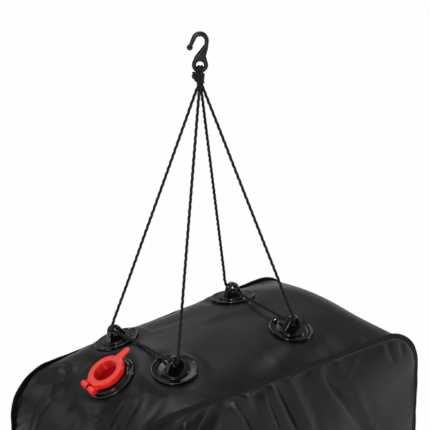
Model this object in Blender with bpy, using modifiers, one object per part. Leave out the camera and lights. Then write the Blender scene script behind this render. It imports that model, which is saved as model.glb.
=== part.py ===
# Camp shower bag: a welded PVC water bag that hangs by four lugs, two rope loops and a plastic hook.
# The origin is the inside top of the hook's bend, where the bag is hung up. +Z is up, X runs along
# the bag, and the front panel faces -Y. Lengths are in metres.

import math

import bmesh
import bpy
from mathutils import Matrix, Vector
from mathutils.bvhtree import BVHTree
from mathutils.geometry import interpolate_bezier

MM = 0.001

# Clearances and mesh settings
SEAT_GAP = 0.3 * MM
RUNNING_GAP = 0.3 * MM
OVERRUN = 1.0 * MM
MERGE = 0.02 * MM
EDGE_RESOLUTION = 1
ROUND_RESOLUTION = 2
PARALLEL_LIMIT = 1e-12
SHARE_SLACK = 1e-9

# The bag's fabric, seam to seam
BAG_LENGTH = 398 * MM
BAG_HEIGHT = 220 * MM
BAG_DEPTH = 216 * MM
BAG_CENTRE_X = 18 * MM
BAG_CENTRE_Y = -8 * MM
FABRIC_WALL = 0.8 * MM
FIN_WIDTH = 6 * MM
SEAM_RADIUS = 44 * MM
GUSSET_PUFF = 29 * MM
SEAM_LEAN = 7.5 * MM
CORNER_TWIST = 5.6 * MM
CROWN_TILT = 8 * MM
CROWN_ROLL = 8.5 * MM
PUFF_POWER_SHARE = 0.7
PANEL_DOME = 13 * MM
PANEL_RING_SHARES = (0.93, 0.78, 0.55, 0.28)
SHOULDER_FRONT_RADIUS = 90 * MM
SHOULDER_BACK_RADIUS = 140 * MM
BOTTOM_RADIUS = 105 * MM
FILLER_SLOPE = math.radians(36)
FILLER_SLOPE_START = 119 * MM
FILLER_SLOPE_TOP_RADIUS = 100 * MM
FILLER_SLOPE_END_RADIUS = 115 * MM
CORNER_STEPS = 5
PUFF_CORNER_STEPS = 20
LONG_SIDE_STEPS = 8
SHORT_SIDE_STEPS = 3
GUSSET_STEPS = 8

# How far things hang below each other
EYE_DROP = 32.4 * MM
CROWN_DROP = 305 * MM

# Four lugs: a welded disc with a boss and an upright ear
LUG_CENTRE_X = 2 * MM
LUG_CENTRE_Y = -4.2 * MM
LUG_SPACING_X = 167 * MM
LUG_SPACING_Y = 98 * MM
LUG_DIAMETER = 50 * MM
LUG_DISC = 1.4 * MM
LUG_RIM_WIDTH = 1.8 * MM
LUG_RIM_RISE = 0.8 * MM
LUG_SKIRT = 6 * MM
BOSS_DIAMETER = 33 * MM
BOSS_RISE = 1.6 * MM
BOSS_CHAMFER = 0.8 * MM
EAR_BASE = 25 * MM
EAR_HEIGHT = 15 * MM
EAR_TOP_RADIUS = 8 * MM
EAR_THICKNESS = 6.5 * MM
EAR_EDGE = 0.8 * MM
EAR_HOLE = 9 * MM
EAR_STEPS = 6
EAR_HOLE_STEPS = 12
LUG_STEPS = 24

# Filler: a welded base with a neck, and a red cap that swings on the base's bar
FILLER_X = -126.7 * MM
FILLER_Y = -2.1 * MM
FILLER_TURN = math.radians(-10)
FILLER_LEAN = math.radians(6)
FILLER_LIFT = 1.2 * MM
FILLER_FLANGE_DIAMETER = 57 * MM
FILLER_FLANGE = 2 * MM
FILLER_SKIRT = 8 * MM
FILLER_STEP_DIAMETER = 48 * MM
FILLER_STEP_RISE = 2.5 * MM
NECK_DIAMETER = 36 * MM
NECK_BORE = 32 * MM
NECK_HEIGHT = 8.6 * MM
SEAL_THICKNESS = 1.0 * MM
SEAL_INSET = 0.4 * MM
CAP_DIAMETER = 42.5 * MM
CAP_SKIRT_CLEARANCE = 1.1 * MM
CAP_TOP = 2.8 * MM
CAP_HEIGHT = 6.6 * MM
CAP_EDGE = 0.8 * MM
CUP_MOUTH = 27.5 * MM
CUP_WALL = 1.15 * MM
CUP_DRAFT = 0.7 * MM
CUP_FLOOR = 1.5 * MM
CUP_LIFT = 1.0 * MM
CUP_RIDGES = 3
CUP_RIDGE_DEPTH = 0.45 * MM
CUP_RIDGE_SHARE = 0.25
TAB_LENGTH = 15.8 * MM
TAB_ROOT = 13 * MM
TAB_TIP_RADIUS = 4 * MM
TAB_THICKNESS = 2.4 * MM
TAB_EDGE = 0.4 * MM
TAB_SINK = 0.05 * MM
TAB_STEPS = 6
HINGE_REACH = 24.7 * MM
BAR_DIAMETER = 4 * MM
BAR_COVER = 0.2 * MM
BAR_STEPS = 12
KNUCKLE_DIAMETER = 7 * MM
KNUCKLE_LENGTH = 14 * MM
KNUCKLE_SLOT = 2.6 * MM
KNUCKLE_STEPS = 16
KNUCKLE_SINK = 0.1 * MM
WEB_REACH = 10 * MM
WEB_TAPER = 1 * MM
WEB_INSET = 0.2 * MM
HINGE_POST = 3.4 * MM
POST_DEPTH = 4.4 * MM
FILLER_STEPS = 32

# Outlet at the bottom: a welded base, a washer and a screwed-in barbed spigot
OUTLET_FLANGE_DIAMETER = 44 * MM
OUTLET_FLANGE = 1.8 * MM
OUTLET_SKIRT = 5 * MM
OUTLET_NECK_DIAMETER = 24 * MM
OUTLET_NECK = 9 * MM
OUTLET_SOCKET = 14 * MM
SPIGOT_COLLAR_DIAMETER = 22 * MM
SPIGOT_COLLAR = 3 * MM
SPIGOT_BORE = 8 * MM
SPIGOT_TUBE_DIAMETER = 11 * MM
SPIGOT_LENGTH = 20 * MM
BARB_RISE = 1 * MM
BARB_PITCH = 5 * MM
BARB_COUNT = 3
BARB_CREST_SHARE = 2 / 3
BARB_ROOT_SHARE = 3 / 4
WASHER_THICKNESS = 1.2 * MM
OUTLET_STEPS = 24

# Hook: a flat-backed open hook with a ball tip, turned to face the front left of the bag
HOOK_TURN = math.radians(-40)
HOOK_THICKNESS = 5.4 * MM
HOOK_EDGE = 1.3 * MM
HOOK_BEND_RADIUS = 5.0 * MM
HOOK_ARM = 5.4 * MM
HOOK_TIP_ARM = 3.8 * MM
HOOK_TIP_X = -11.3 * MM
HOOK_TIP_DROP = 12.1 * MM
HOOK_BALL = 6.4 * MM
HOOK_BALL_RINGS = (12, 8)
HOOK_OUTER_START = math.radians(155)
HOOK_INNER_END = math.radians(140)
HOOK_SHANK_DROP = 9.0 * MM
HOOK_SHANK_TAPER_SHARE = 0.35
EYE_DIAMETER = 18 * MM
EYE_HOLE = 9 * MM
EYE_HOLE_STEPS = 16
EYE_ARC_START = math.radians(25)
EYE_ARC_END = math.radians(-205)
EYE_ARC_STEPS = 14
WAIST_DROP = 22.4 * MM
WAIST_RIGHT = 6.5 * MM
WAIST_LEFT = 5.3 * MM
HOOK_ARC_STEPS = 10

# Rope harness: two loops that are hitched together in the hook's eye
ROPE = 3.5 * MM
KNOT_WIDTH = 15 * MM
KNOT_DEPTH = 14 * MM
KNOT_HEIGHT = 15 * MM
NECK_DROP = 29 * MM
NECK_SPREAD_X = 7.3 * MM
NECK_SPREAD_Y = 5.3 * MM
BIGHT_SQUEEZE_SHARE = 0.9
BIGHT_CLEARANCE = 0.7 * MM
BIGHT_CROWN = 3 * MM
BIGHT_STEPS = 8
BIGHT_RESOLUTION = 1
STRAND_MERGE = 0.65 * MM
KNOT_RINGS = (14, 9)
STRAND_STEPS = 10
ROPE_STEPS = 2

# Each rope goes down to the rear ear, through it from outside, across to the front ear and up again.
# The places are (x, y, z) in millimetres, measured from the inside top of the hook's bend.
ROPE_LEFT_ROUTE = (
    (-3.7, 2.6, -61.7), (-4.7, 3.2, -65), (-6.7, 4.6, -72), (-14.6, 10.1, -100), (-28.8, 19.9, -150),
    (-48.9, 33.7, -220), (-66.6, 45.9, -282), (-75, 51.8, -311), (-78.6, 54.4, -324),
    (-80, 54.5, -328.1), (-81.4, 51.7, -331.4), (-82.2, 47.3, -332.4), (-82.3, 40, -332.1),
    (-82.3, -4, -331.5), (-82.8, -48, -331.5), (-82.9, -54.7, -331.6), (-83.1, -58.6, -330.5),
    (-83.5, -61.3, -327.2), (-83.4, -61.9, -322.9), (-79.6, -59, -309.9), (-71.1, -52.7, -282),
    (-52.2, -38.6, -220), (-30.8, -22.8, -150), (-15.5, -11.5, -100), (-6.9, -5.1, -72),
    (-4.7, -3.5, -65), (-3.7, -2.7, -61.7),
)
ROPE_RIGHT_ROUTE = (
    (3.7, 2.6, -61.7), (4.7, 3.2, -65), (6.8, 4.5, -72), (15, 9.9, -100), (29.7, 19.4, -150),
    (50.3, 32.8, -220), (68.5, 44.7, -282), (77, 50.3, -310.7), (80.8, 52.8, -323.7),
    (82.3, 52.4, -327.6), (83.6, 50.1, -330.5), (84.2, 46.3, -331.4), (84.4, 40, -331.6),
    (84.6, -4, -333.5), (84.6, -48, -336), (84.4, -54.3, -336.4), (83.9, -58.3, -335.4),
    (82.8, -61.1, -332.4), (81.3, -61.9, -328.2), (77.4, -59.1, -315.2), (67.8, -51.7, -282),
    (49.7, -37.9, -220), (29.3, -22.4, -150), (14.8, -11.4, -100), (6.6, -5.1, -72),
    (4.6, -3.5, -65), (3.7, -2.7, -61.7),
)

COLLECTION_NAME = "camp_shower_bag"


def clear_scene():
    for old in list(bpy.data.objects):
        bpy.data.objects.remove(old, do_unlink=True)


def new_collection(name):
    group = bpy.data.collections.new(name)
    bpy.context.scene.collection.children.link(group)
    return group


def linear(value):
    """One sRGB channel, 0 to 1, as linear light."""
    if value <= 0.04045:
        return value / 12.92
    return ((value + 0.055) / 1.055) ** 2.4


def finish(name, colour, roughness, metallic=0.0):
    """A Principled material; colour is an sRGB hex string."""
    made = bpy.data.materials.new(name)
    made.use_nodes = True
    shader = made.node_tree.nodes["Principled BSDF"]
    channels = [int(colour[i:i + 2], 16) / 255 for i in (0, 2, 4)]
    shader.inputs["Base Color"].default_value = [linear(c) for c in channels] + [1.0]
    shader.inputs["Roughness"].default_value = roughness
    shader.inputs["Metallic"].default_value = metallic
    return made


def add_object(name, mesh, group, look=None):
    made = bpy.data.objects.new(name, mesh)
    group.objects.link(made)
    if look is not None:
        mesh.materials.append(look)
    return made


def as_cutter(piece):
    """A helper solid: it shapes other pieces and isn't part of the bag."""
    piece.hide_render = True
    piece.display_type = "WIRE"
    return piece


def pivot(name, place, group):
    """An empty on a joint's axis; its y axis is the axis."""
    made = add_object(name, None, group)
    made.matrix_world = place
    return made


def carry(piece, empty):
    """Parent a piece to an empty and leave it where it is."""
    bpy.context.view_layer.update()
    piece.parent = empty
    piece.matrix_parent_inverse = empty.matrix_world.inverted()


def mesh_from(bm, name):
    mesh = bpy.data.meshes.new(name)
    bm.to_mesh(mesh)
    bm.free()
    return mesh


def boolean(piece, tool, operation, label):
    """A live Boolean modifier with the exact solver."""
    cut = piece.modifiers.new(label, "BOOLEAN")
    cut.operation = operation
    cut.solver = "EXACT"
    cut.object = tool
    return cut


def turned(name, profile, steps, group, look=None, closed=False):
    """A turned solid from (radius, height) points that run down its outer side."""
    mesh = bpy.data.meshes.new(name)
    links = [(i, i + 1) for i in range(len(profile) - 1)]
    if closed:
        links.append((len(profile) - 1, 0))
    mesh.from_pydata([(r, 0.0, z) for r, z in profile], links, [])
    made = add_object(name, mesh, group, look)
    screw = made.modifiers.new("turn", "SCREW")
    screw.axis = "Z"
    screw.steps = steps
    screw.render_steps = steps
    screw.use_merge_vertices = True
    screw.merge_threshold = MERGE
    return made


def welded_copy(piece, name, group, look=None):
    """A curve turned into a closed mesh object in the same place; the curve is removed."""
    bpy.context.view_layer.update()
    graph = bpy.context.evaluated_depsgraph_get()
    mesh = bpy.data.meshes.new_from_object(piece.evaluated_get(graph))
    mesh.name = name
    mesh.materials.clear()
    bm = bmesh.new()
    bm.from_mesh(mesh)
    bmesh.ops.remove_doubles(bm, verts=bm.verts, dist=MERGE)
    bmesh.ops.recalc_face_normals(bm, faces=bm.faces)
    bm.to_mesh(mesh)
    bm.free()
    made = add_object(name, mesh, group, look)
    made.matrix_world = piece.matrix_world.copy()
    data = piece.data
    bpy.data.objects.remove(piece, do_unlink=True)
    bpy.data.curves.remove(data)
    return made


def flat_plate(name, outlines, thickness, edge, group, look=None):
    """A plate from closed (x, z) outlines, later ones being holes, centred on y = 0."""
    curve = bpy.data.curves.new(name + "_edge", "CURVE")
    curve.dimensions = "2D"
    curve.fill_mode = "BOTH"
    curve.extrude = thickness / 2 - edge
    curve.bevel_depth = edge
    curve.bevel_resolution = EDGE_RESOLUTION
    curve.offset = -edge
    for outline in outlines:
        spline = curve.splines.new("POLY")
        spline.points.add(len(outline) - 1)
        for point, (x, z) in zip(spline.points, outline):
            point.co = (x, z, 0.0, 1.0)
        spline.use_cyclic_u = True
    made = bpy.data.objects.new(name + "_edge", curve)
    group.objects.link(made)
    made.matrix_world = Matrix.Rotation(math.pi / 2, 4, "X")
    return welded_copy(made, name, group, look)


def arc_points(centre, radius, start, end, steps):
    """Points (x, z) on an arc; angles are in radians from +x towards +z."""
    points = []
    for i in range(steps + 1):
        angle = start + (end - start) * i / steps
        points.append((centre[0] + radius * math.cos(angle), centre[1] + radius * math.sin(angle)))
    return points


def smooth_chain(points, steps):
    """A smooth curve through the points, with steps samples on each span."""
    spans = [(b - a).length for a, b in zip(points, points[1:])]
    slopes = [(points[1] - points[0]) / spans[0]]
    for i in range(1, len(points) - 1):
        before = (points[i] - points[i - 1]) / spans[i - 1]
        after = (points[i + 1] - points[i]) / spans[i]
        slopes.append((before * spans[i] + after * spans[i - 1]) / (spans[i] + spans[i - 1]))
    slopes.append((points[-1] - points[-2]) / spans[-1])
    chain = []
    for i, span in enumerate(spans):
        leave = points[i] + slopes[i] * span / 3
        arrive = points[i + 1] - slopes[i + 1] * span / 3
        chain += interpolate_bezier(points[i], leave, arrive, points[i + 1], steps + 1)[:-1]
    return chain + [points[-1].copy()]


def tube(name, points, diameter, resolution, group, look=None):
    """A round tube with closed ends along the points."""
    curve = bpy.data.curves.new(name + "_line", "CURVE")
    curve.dimensions = "3D"
    curve.bevel_depth = diameter / 2
    curve.bevel_resolution = resolution
    curve.use_fill_caps = True
    spline = curve.splines.new("POLY")
    spline.points.add(len(points) - 1)
    for point, place in zip(spline.points, points):
        point.co = (*place, 1.0)
    made = bpy.data.objects.new(name + "_line", curve)
    group.objects.link(made)
    return welded_copy(made, name, group, look)


def box(name, low, high, group):
    """A block between two corners, as a helper solid."""
    bm = bmesh.new()
    size = Vector(high) - Vector(low)
    middle = (Vector(high) + Vector(low)) / 2
    bmesh.ops.create_cube(bm, size=1.0, matrix=Matrix.Translation(middle) @ Matrix.Diagonal((*size, 1)))
    return as_cutter(add_object(name, mesh_from(bm, name), group))


def rod(name, start, end, diameter, steps, group):
    """A straight round rod between two points, as a helper solid."""
    axis = Vector(end) - Vector(start)
    turn = Vector((0, 0, 1)).rotation_difference(axis.normalized()).to_matrix().to_4x4()
    place = Matrix.Translation((Vector(start) + Vector(end)) / 2) @ turn
    bm = bmesh.new()
    bmesh.ops.create_cone(bm, cap_ends=True, segments=steps, radius1=diameter / 2, radius2=diameter / 2,
                          depth=axis.length, matrix=place)
    return as_cutter(add_object(name, mesh_from(bm, name), group))


# Levels that follow from the sizes above: the cap's top and its hinge, over the fabric, and the bag's own.

CAP_LEVEL = NECK_HEIGHT + SEAT_GAP + SEAL_THICKNESS + RUNNING_GAP + CAP_TOP
HINGE_HEIGHT = CAP_LEVEL - KNUCKLE_SINK - KNUCKLE_DIAMETER / 2
BAG_TOP = -EYE_DROP - CROWN_DROP - GUSSET_PUFF
BAG_CENTRE_Z = BAG_TOP - BAG_HEIGHT / 2
FRONT_Y = BAG_CENTRE_Y - BAG_DEPTH / 2
BACK_Y = BAG_CENTRE_Y + BAG_DEPTH / 2


def filleted(corners, steps, sides):
    """A closed outline through (x, z, radius) corners, each rounded by an arc that its sides allow."""
    outline = []
    count = len(corners)
    for i, (x, z, radius) in enumerate(corners):
        here = Vector((x, z))
        before = Vector(corners[i - 1][:2])
        after = Vector(corners[(i + 1) % count][:2])
        back = (before - here).normalized()
        ahead = (after - here).normalized()
        half_turn = back.angle(ahead) / 2
        room = min((before - here).length, (after - here).length) / 2
        reach = min(radius / math.tan(half_turn), room)
        fair = reach * math.tan(half_turn)
        centre = here + (back + ahead).normalized() * (fair / math.sin(half_turn))
        first = here + back * reach - centre
        last = here + ahead * reach - centre
        sweep = first.angle_signed(last)
        for k in range(steps + 1):
            outline.append(centre + Matrix.Rotation(-sweep * k / steps, 2) @ first)
        start = here + ahead * reach
        next_radius = corners[(i + 1) % count][2]
        onward = Vector(corners[(i + 2) % count][:2]) - after
        next_half = (-ahead).angle(onward.normalized()) / 2
        next_room = min((after - here).length, onward.length) / 2
        next_reach = min(next_radius / math.tan(next_half), next_room)
        end = after - ahead * next_reach
        for k in range(1, sides[i]):
            outline.append(start.lerp(end, k / sides[i]))
    return outline


def seam_outline(grow=0.0):
    """The seam line in front view, or a line round it at a distance."""
    half_x = BAG_LENGTH / 2 + grow
    half_z = BAG_HEIGHT / 2 + grow
    corners = [(sx * half_x, sz * half_z, SEAM_RADIUS + grow)
               for sx, sz in ((1, 1), (-1, 1), (-1, -1), (1, -1))]
    sides = (LONG_SIDE_STEPS, SHORT_SIDE_STEPS) * 2
    return filleted(corners, CORNER_STEPS, sides)


def puffed_outline(shoulder_radius):
    """The line that the gusset is puffed out to; the filler's corner slopes down."""
    half_x = BAG_LENGTH / 2 + GUSSET_PUFF
    half_z = BAG_HEIGHT / 2 + GUSSET_PUFF
    slope_drop = FILLER_SLOPE_START * math.tan(FILLER_SLOPE)
    corners = [(half_x, half_z, shoulder_radius),
               (-half_x + FILLER_SLOPE_START, half_z, FILLER_SLOPE_TOP_RADIUS),
               (-half_x, half_z - slope_drop, FILLER_SLOPE_END_RADIUS),
               (-half_x, -half_z, BOTTOM_RADIUS),
               (half_x, -half_z, BOTTOM_RADIUS)]
    return filleted(corners, PUFF_CORNER_STEPS, [1 for _ in corners])


def reach_along(outline, direction):
    """Where a ray from the middle meets a closed outline."""
    best = 0.0
    for i, start in enumerate(outline):
        edge = outline[(i + 1) % len(outline)] - start
        across = direction.x * edge.y - direction.y * edge.x
        if abs(across) < PARALLEL_LIMIT:
            continue
        reach = (start.x * edge.y - start.y * edge.x) / across
        share = (start.x * direction.y - start.y * direction.x) / across
        if reach > best and -SHARE_SLACK <= share <= 1 + SHARE_SLACK:
            best = reach
    return direction * best


def bag_point(flat, y, lean_share=0.0, crown_share=0.0):
    """A section's point in the bag, with the lean, twist and rolled crown of the full, soft bag."""
    x_share = flat.x / (BAG_LENGTH / 2)
    y_share = (y - BAG_CENTRE_Y) / (BAG_DEPTH / 2)
    top_share = min(max(flat.y / (BAG_HEIGHT / 2), 0.0), 1.0)
    rise = SEAM_LEAN * lean_share + CORNER_TWIST * x_share * y_share
    rise += crown_share * top_share * (CROWN_TILT * y_share - CROWN_ROLL * x_share)
    return Vector((BAG_CENTRE_X + flat.x, y, BAG_CENTRE_Z + flat.y + rise))


def gusset_rows():
    """Rows of points across the gusset, from the front seam to the back seam."""
    seam = seam_outline()
    front_line = puffed_outline(SHOULDER_FRONT_RADIUS)
    back_line = puffed_outline(SHOULDER_BACK_RADIUS)
    front = [reach_along(front_line, point.normalized()) for point in seam]
    back = [reach_along(back_line, point.normalized()) for point in seam]
    rows = []
    for k in range(GUSSET_STEPS + 1):
        across_share = -math.cos(math.pi * k / GUSSET_STEPS)
        puff_share = (1 - across_share ** 2) ** PUFF_POWER_SHARE if 0 < k < GUSSET_STEPS else 0.0
        side_gap = -across_share * SEAT_GAP / 2
        y = BAG_CENTRE_Y + across_share * BAG_DEPTH / 2 + side_gap
        lean_share = -across_share * (1 - puff_share)
        back_share = (1 + across_share) / 2
        rows.append([bag_point(a.lerp(b.lerp(c, back_share), puff_share), y, lean_share, puff_share)
                     for a, b, c in zip(seam, front, back)])
    return rows


def joined_rows(rows, centre_cap=False):
    """A surface that joins closed rows of points, each row made by extruding the one before."""
    bm = bmesh.new()
    first = [bm.verts.new(p) for p in rows[0]]
    edges = [bm.edges.new((first[i], first[(i + 1) % len(first)])) for i in range(len(first))]
    for row in rows[1:]:
        made = bmesh.ops.extrude_edge_only(bm, edges=edges)["geom"]
        new_edges = [g for g in made if isinstance(g, bmesh.types.BMEdge)
                     and all(v in made for v in g.verts)]
        ring = ordered_ring(new_edges, first)
        for vert, place in zip(ring, row):
            vert.co = place
        edges = [bm.edges.get((ring[i], ring[(i + 1) % len(ring)])) for i in range(len(ring))]
        first = ring
    if centre_cap:
        bmesh.ops.poke(bm, faces=[bm.faces.new(first)])
    bmesh.ops.triangulate(bm, faces=bm.faces, quad_method="FIXED")
    return bm


def ordered_ring(new_edges, old_ring):
    """The new ring's points in the order of the ring that they were extruded from."""
    fresh = {v for e in new_edges for v in e.verts}
    ring = []
    for vert in old_ring:
        ring.append(next(e.other_vert(vert) for e in vert.link_edges if e.other_vert(vert) in fresh))
    return ring


def thicken(piece, wall):
    """Solidify from the drawn inner face outwards."""
    shell = piece.modifiers.new("wall", "SOLIDIFY")
    shell.thickness = wall
    shell.offset = 1.0
    shell.use_even_offset = True


def facing_out(bm, centre):
    """Turn a surface so that it faces away from a point."""
    bmesh.ops.recalc_face_normals(bm, faces=bm.faces)
    bm.faces.ensure_lookup_table()
    lean = sum((f.calc_center_median() - centre).dot(f.normal) * f.calc_area() for f in bm.faces)
    if lean < 0:
        bmesh.ops.reverse_faces(bm, faces=bm.faces)


def bag_middle():
    return Vector((BAG_CENTRE_X, BAG_CENTRE_Y, BAG_CENTRE_Z))


def make_core(group):
    """The space that the fabric takes up, with the seat gap outside it: what sits on it is cut by it."""
    rows = gusset_rows()
    bm = joined_rows(rows)
    facing_out(bm, bag_middle())
    lift = FABRIC_WALL + SEAT_GAP
    bm.normal_update()
    moves = [(v, v.normal * lift * v.calc_shell_factor()) for v in bm.verts]
    for vert, move in moves:
        vert.co += move
    bmesh.ops.holes_fill(bm, edges=bm.edges, sides=0)
    bmesh.ops.recalc_face_normals(bm, faces=bm.faces)
    return as_cutter(add_object("fabric_space", mesh_from(bm, "fabric_space"), group))


def make_gusset(group, look):
    """The strip that runs round the bag, with a weld fin along both its edges."""
    rows = gusset_rows()
    front = [bag_point(p, rows[0][0].y, 1) for p in seam_outline(FIN_WIDTH)]
    back = [bag_point(p, rows[-1][0].y, -1) for p in seam_outline(FIN_WIDTH)]
    bm = joined_rows([front] + rows + [back])
    facing_out(bm, bag_middle())
    made = add_object("gusset", mesh_from(bm, "gusset"), group, look)
    thicken(made, FABRIC_WALL)
    return made


def make_panel(name, y, outwards, group, look):
    """The front or back panel: a flat weld flange round a domed middle."""
    y_seam = y + outwards * SEAT_GAP / 2
    seam = seam_outline()
    fin = seam_outline(FIN_WIDTH)
    rows = [[bag_point(p, y_seam, -outwards) for p in fin], [bag_point(p, y_seam, -outwards) for p in seam]]
    for share in PANEL_RING_SHARES:
        dome = outwards * PANEL_DOME * (1 - share ** 2) ** PUFF_POWER_SHARE
        rows.append([bag_point(p * share, y_seam + dome, -outwards) for p in seam])
    bm = joined_rows(rows, centre_cap=True)
    facing_out(bm, bag_middle())
    made = add_object(name, mesh_from(bm, name), group, look)
    thicken(made, FABRIC_WALL)
    return made


# What sits on the fabric takes its place and tilt from the fabric under it.

def seat_frame(surface, x, y, reach, up=1):
    """A frame on the fabric over (x, y): its z axis stands off the fabric, its y axis follows Y."""
    start_z = BAG_CENTRE_Z + up * BAG_HEIGHT * 2

    def touch(dx, dy):
        return surface.ray_cast(Vector((x + dx, y + dy, start_z)), Vector((0, 0, -up)))[0]

    along = touch(reach, 0) - touch(-reach, 0)
    across = touch(0, reach) - touch(0, -reach)
    normal = along.cross(across).normalized() * up
    side = across.normalized()
    ahead = side.cross(normal)
    turn = Matrix((ahead, side, normal)).transposed().to_4x4()
    return Matrix.Translation(touch(0, 0)) @ turn


def ear_outline():
    """The ear in its own plane: straight sides that lean in to a round top."""
    root_z = LUG_DISC + BOSS_RISE - OVERRUN
    top_z = LUG_DISC + BOSS_RISE + EAR_HEIGHT - EAR_TOP_RADIUS
    half = EAR_BASE / 2
    rise = top_z - root_z
    span = math.hypot(half, rise)
    lean = math.atan2(rise, half) + math.asin(EAR_TOP_RADIUS / span)
    touch = math.pi / 2 - lean
    crown = arc_points((0, top_z), EAR_TOP_RADIUS, touch, math.pi - touch, EAR_STEPS)
    return [(-half, root_z), (half, root_z)] + crown


def make_lug(name, frame, core, group, helpers, look):
    """One lug: rim, disc and boss turned in one piece, with the ear standing on the boss."""
    disc_r = LUG_DIAMETER / 2
    boss_r = BOSS_DIAMETER / 2
    top = LUG_DISC + BOSS_RISE
    profile = [(0, top), (boss_r - BOSS_CHAMFER, top), (boss_r, top - BOSS_CHAMFER), (boss_r, LUG_DISC),
               (disc_r - LUG_RIM_WIDTH, LUG_DISC), (disc_r - LUG_RIM_WIDTH / 2, LUG_DISC + LUG_RIM_RISE),
               (disc_r, LUG_DISC), (disc_r, -LUG_SKIRT), (0, -LUG_SKIRT)]
    lug = turned(name, profile, LUG_STEPS, group, look)
    hole_z = LUG_DISC + BOSS_RISE + EAR_HEIGHT - EAR_TOP_RADIUS
    hole = arc_points((0, hole_z), EAR_HOLE / 2, 0, 2 * math.pi, EAR_HOLE_STEPS)[:-1]
    ear = as_cutter(flat_plate(name + "_ear", [ear_outline(), hole], EAR_THICKNESS, EAR_EDGE, helpers))
    lug.matrix_world = frame
    ear.matrix_world = frame @ ear.matrix_world
    boolean(lug, core, "DIFFERENCE", "fabric")
    boolean(lug, ear, "UNION", "ear")
    return lug


def filler_frame(surface):
    """The filler's frame: it leans to the back and is turned a little on its seat, as it was welded."""
    seat = seat_frame(surface, FILLER_X, FILLER_Y, FILLER_FLANGE_DIAMETER / 2)
    lean = Matrix.Rotation(-FILLER_LEAN, 4, "X")
    return seat @ lean @ Matrix.Rotation(FILLER_TURN, 4, "Z") @ Matrix.Translation((0.0, 0.0, FILLER_LIFT))


def make_filler_base(frame, core, group, helpers, look):
    """The welded filler base: flange, step and neck, with the post and bar that carry the cap."""
    bore_r = NECK_BORE / 2
    neck_r = NECK_DIAMETER / 2
    step_r = FILLER_STEP_DIAMETER / 2
    flange_r = FILLER_FLANGE_DIAMETER / 2
    step_top = FILLER_FLANGE + FILLER_STEP_RISE
    profile = [(bore_r, NECK_HEIGHT), (neck_r, NECK_HEIGHT), (neck_r, step_top), (step_r, step_top),
               (step_r, FILLER_FLANGE), (flange_r, FILLER_FLANGE), (flange_r, -FILLER_SKIRT),
               (bore_r, -FILLER_SKIRT)]
    base = turned("filler_base", profile, FILLER_STEPS, group, look, closed=True)
    base.matrix_world = frame
    half_post = HINGE_POST / 2
    bar_half = HINGE_POST / 2 + RUNNING_GAP + KNUCKLE_LENGTH
    post_top = HINGE_HEIGHT + BAR_DIAMETER / 2 + BAR_COVER
    post = box("hinge_post", (-HINGE_REACH - POST_DEPTH / 2, -half_post, -FILLER_SKIRT),
               (-HINGE_REACH + POST_DEPTH / 2, half_post, post_top), helpers)
    bar = rod("hinge_bar", (-HINGE_REACH, -bar_half, HINGE_HEIGHT), (-HINGE_REACH, bar_half, HINGE_HEIGHT),
              BAR_DIAMETER, BAR_STEPS, helpers)
    for helper, label in ((post, "post"), (bar, "bar")):
        helper.matrix_world = frame @ helper.matrix_world
        boolean(base, helper, "UNION", label)
    boolean(base, core, "DIFFERENCE", "fabric")
    return base


def cup_profile(mouth_z, floor_z):
    """The recess in the cap, from its mouth down to its floor, with ridges round its wall."""
    mouth_r = CUP_MOUTH / 2
    pitch = (mouth_z - floor_z) / (CUP_RIDGES + 1)
    points = [(mouth_r, mouth_z)]
    for i in range(1, CUP_RIDGES + 1):
        depth_share = i / (CUP_RIDGES + 1)
        wall_r = mouth_r - CUP_DRAFT * depth_share
        z = mouth_z - pitch * i
        half_ridge = pitch * CUP_RIDGE_SHARE
        points += [(wall_r, z + half_ridge), (wall_r - CUP_RIDGE_DEPTH, z), (wall_r, z - half_ridge)]
    points.append((mouth_r - CUP_DRAFT, floor_z))
    return points


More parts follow.
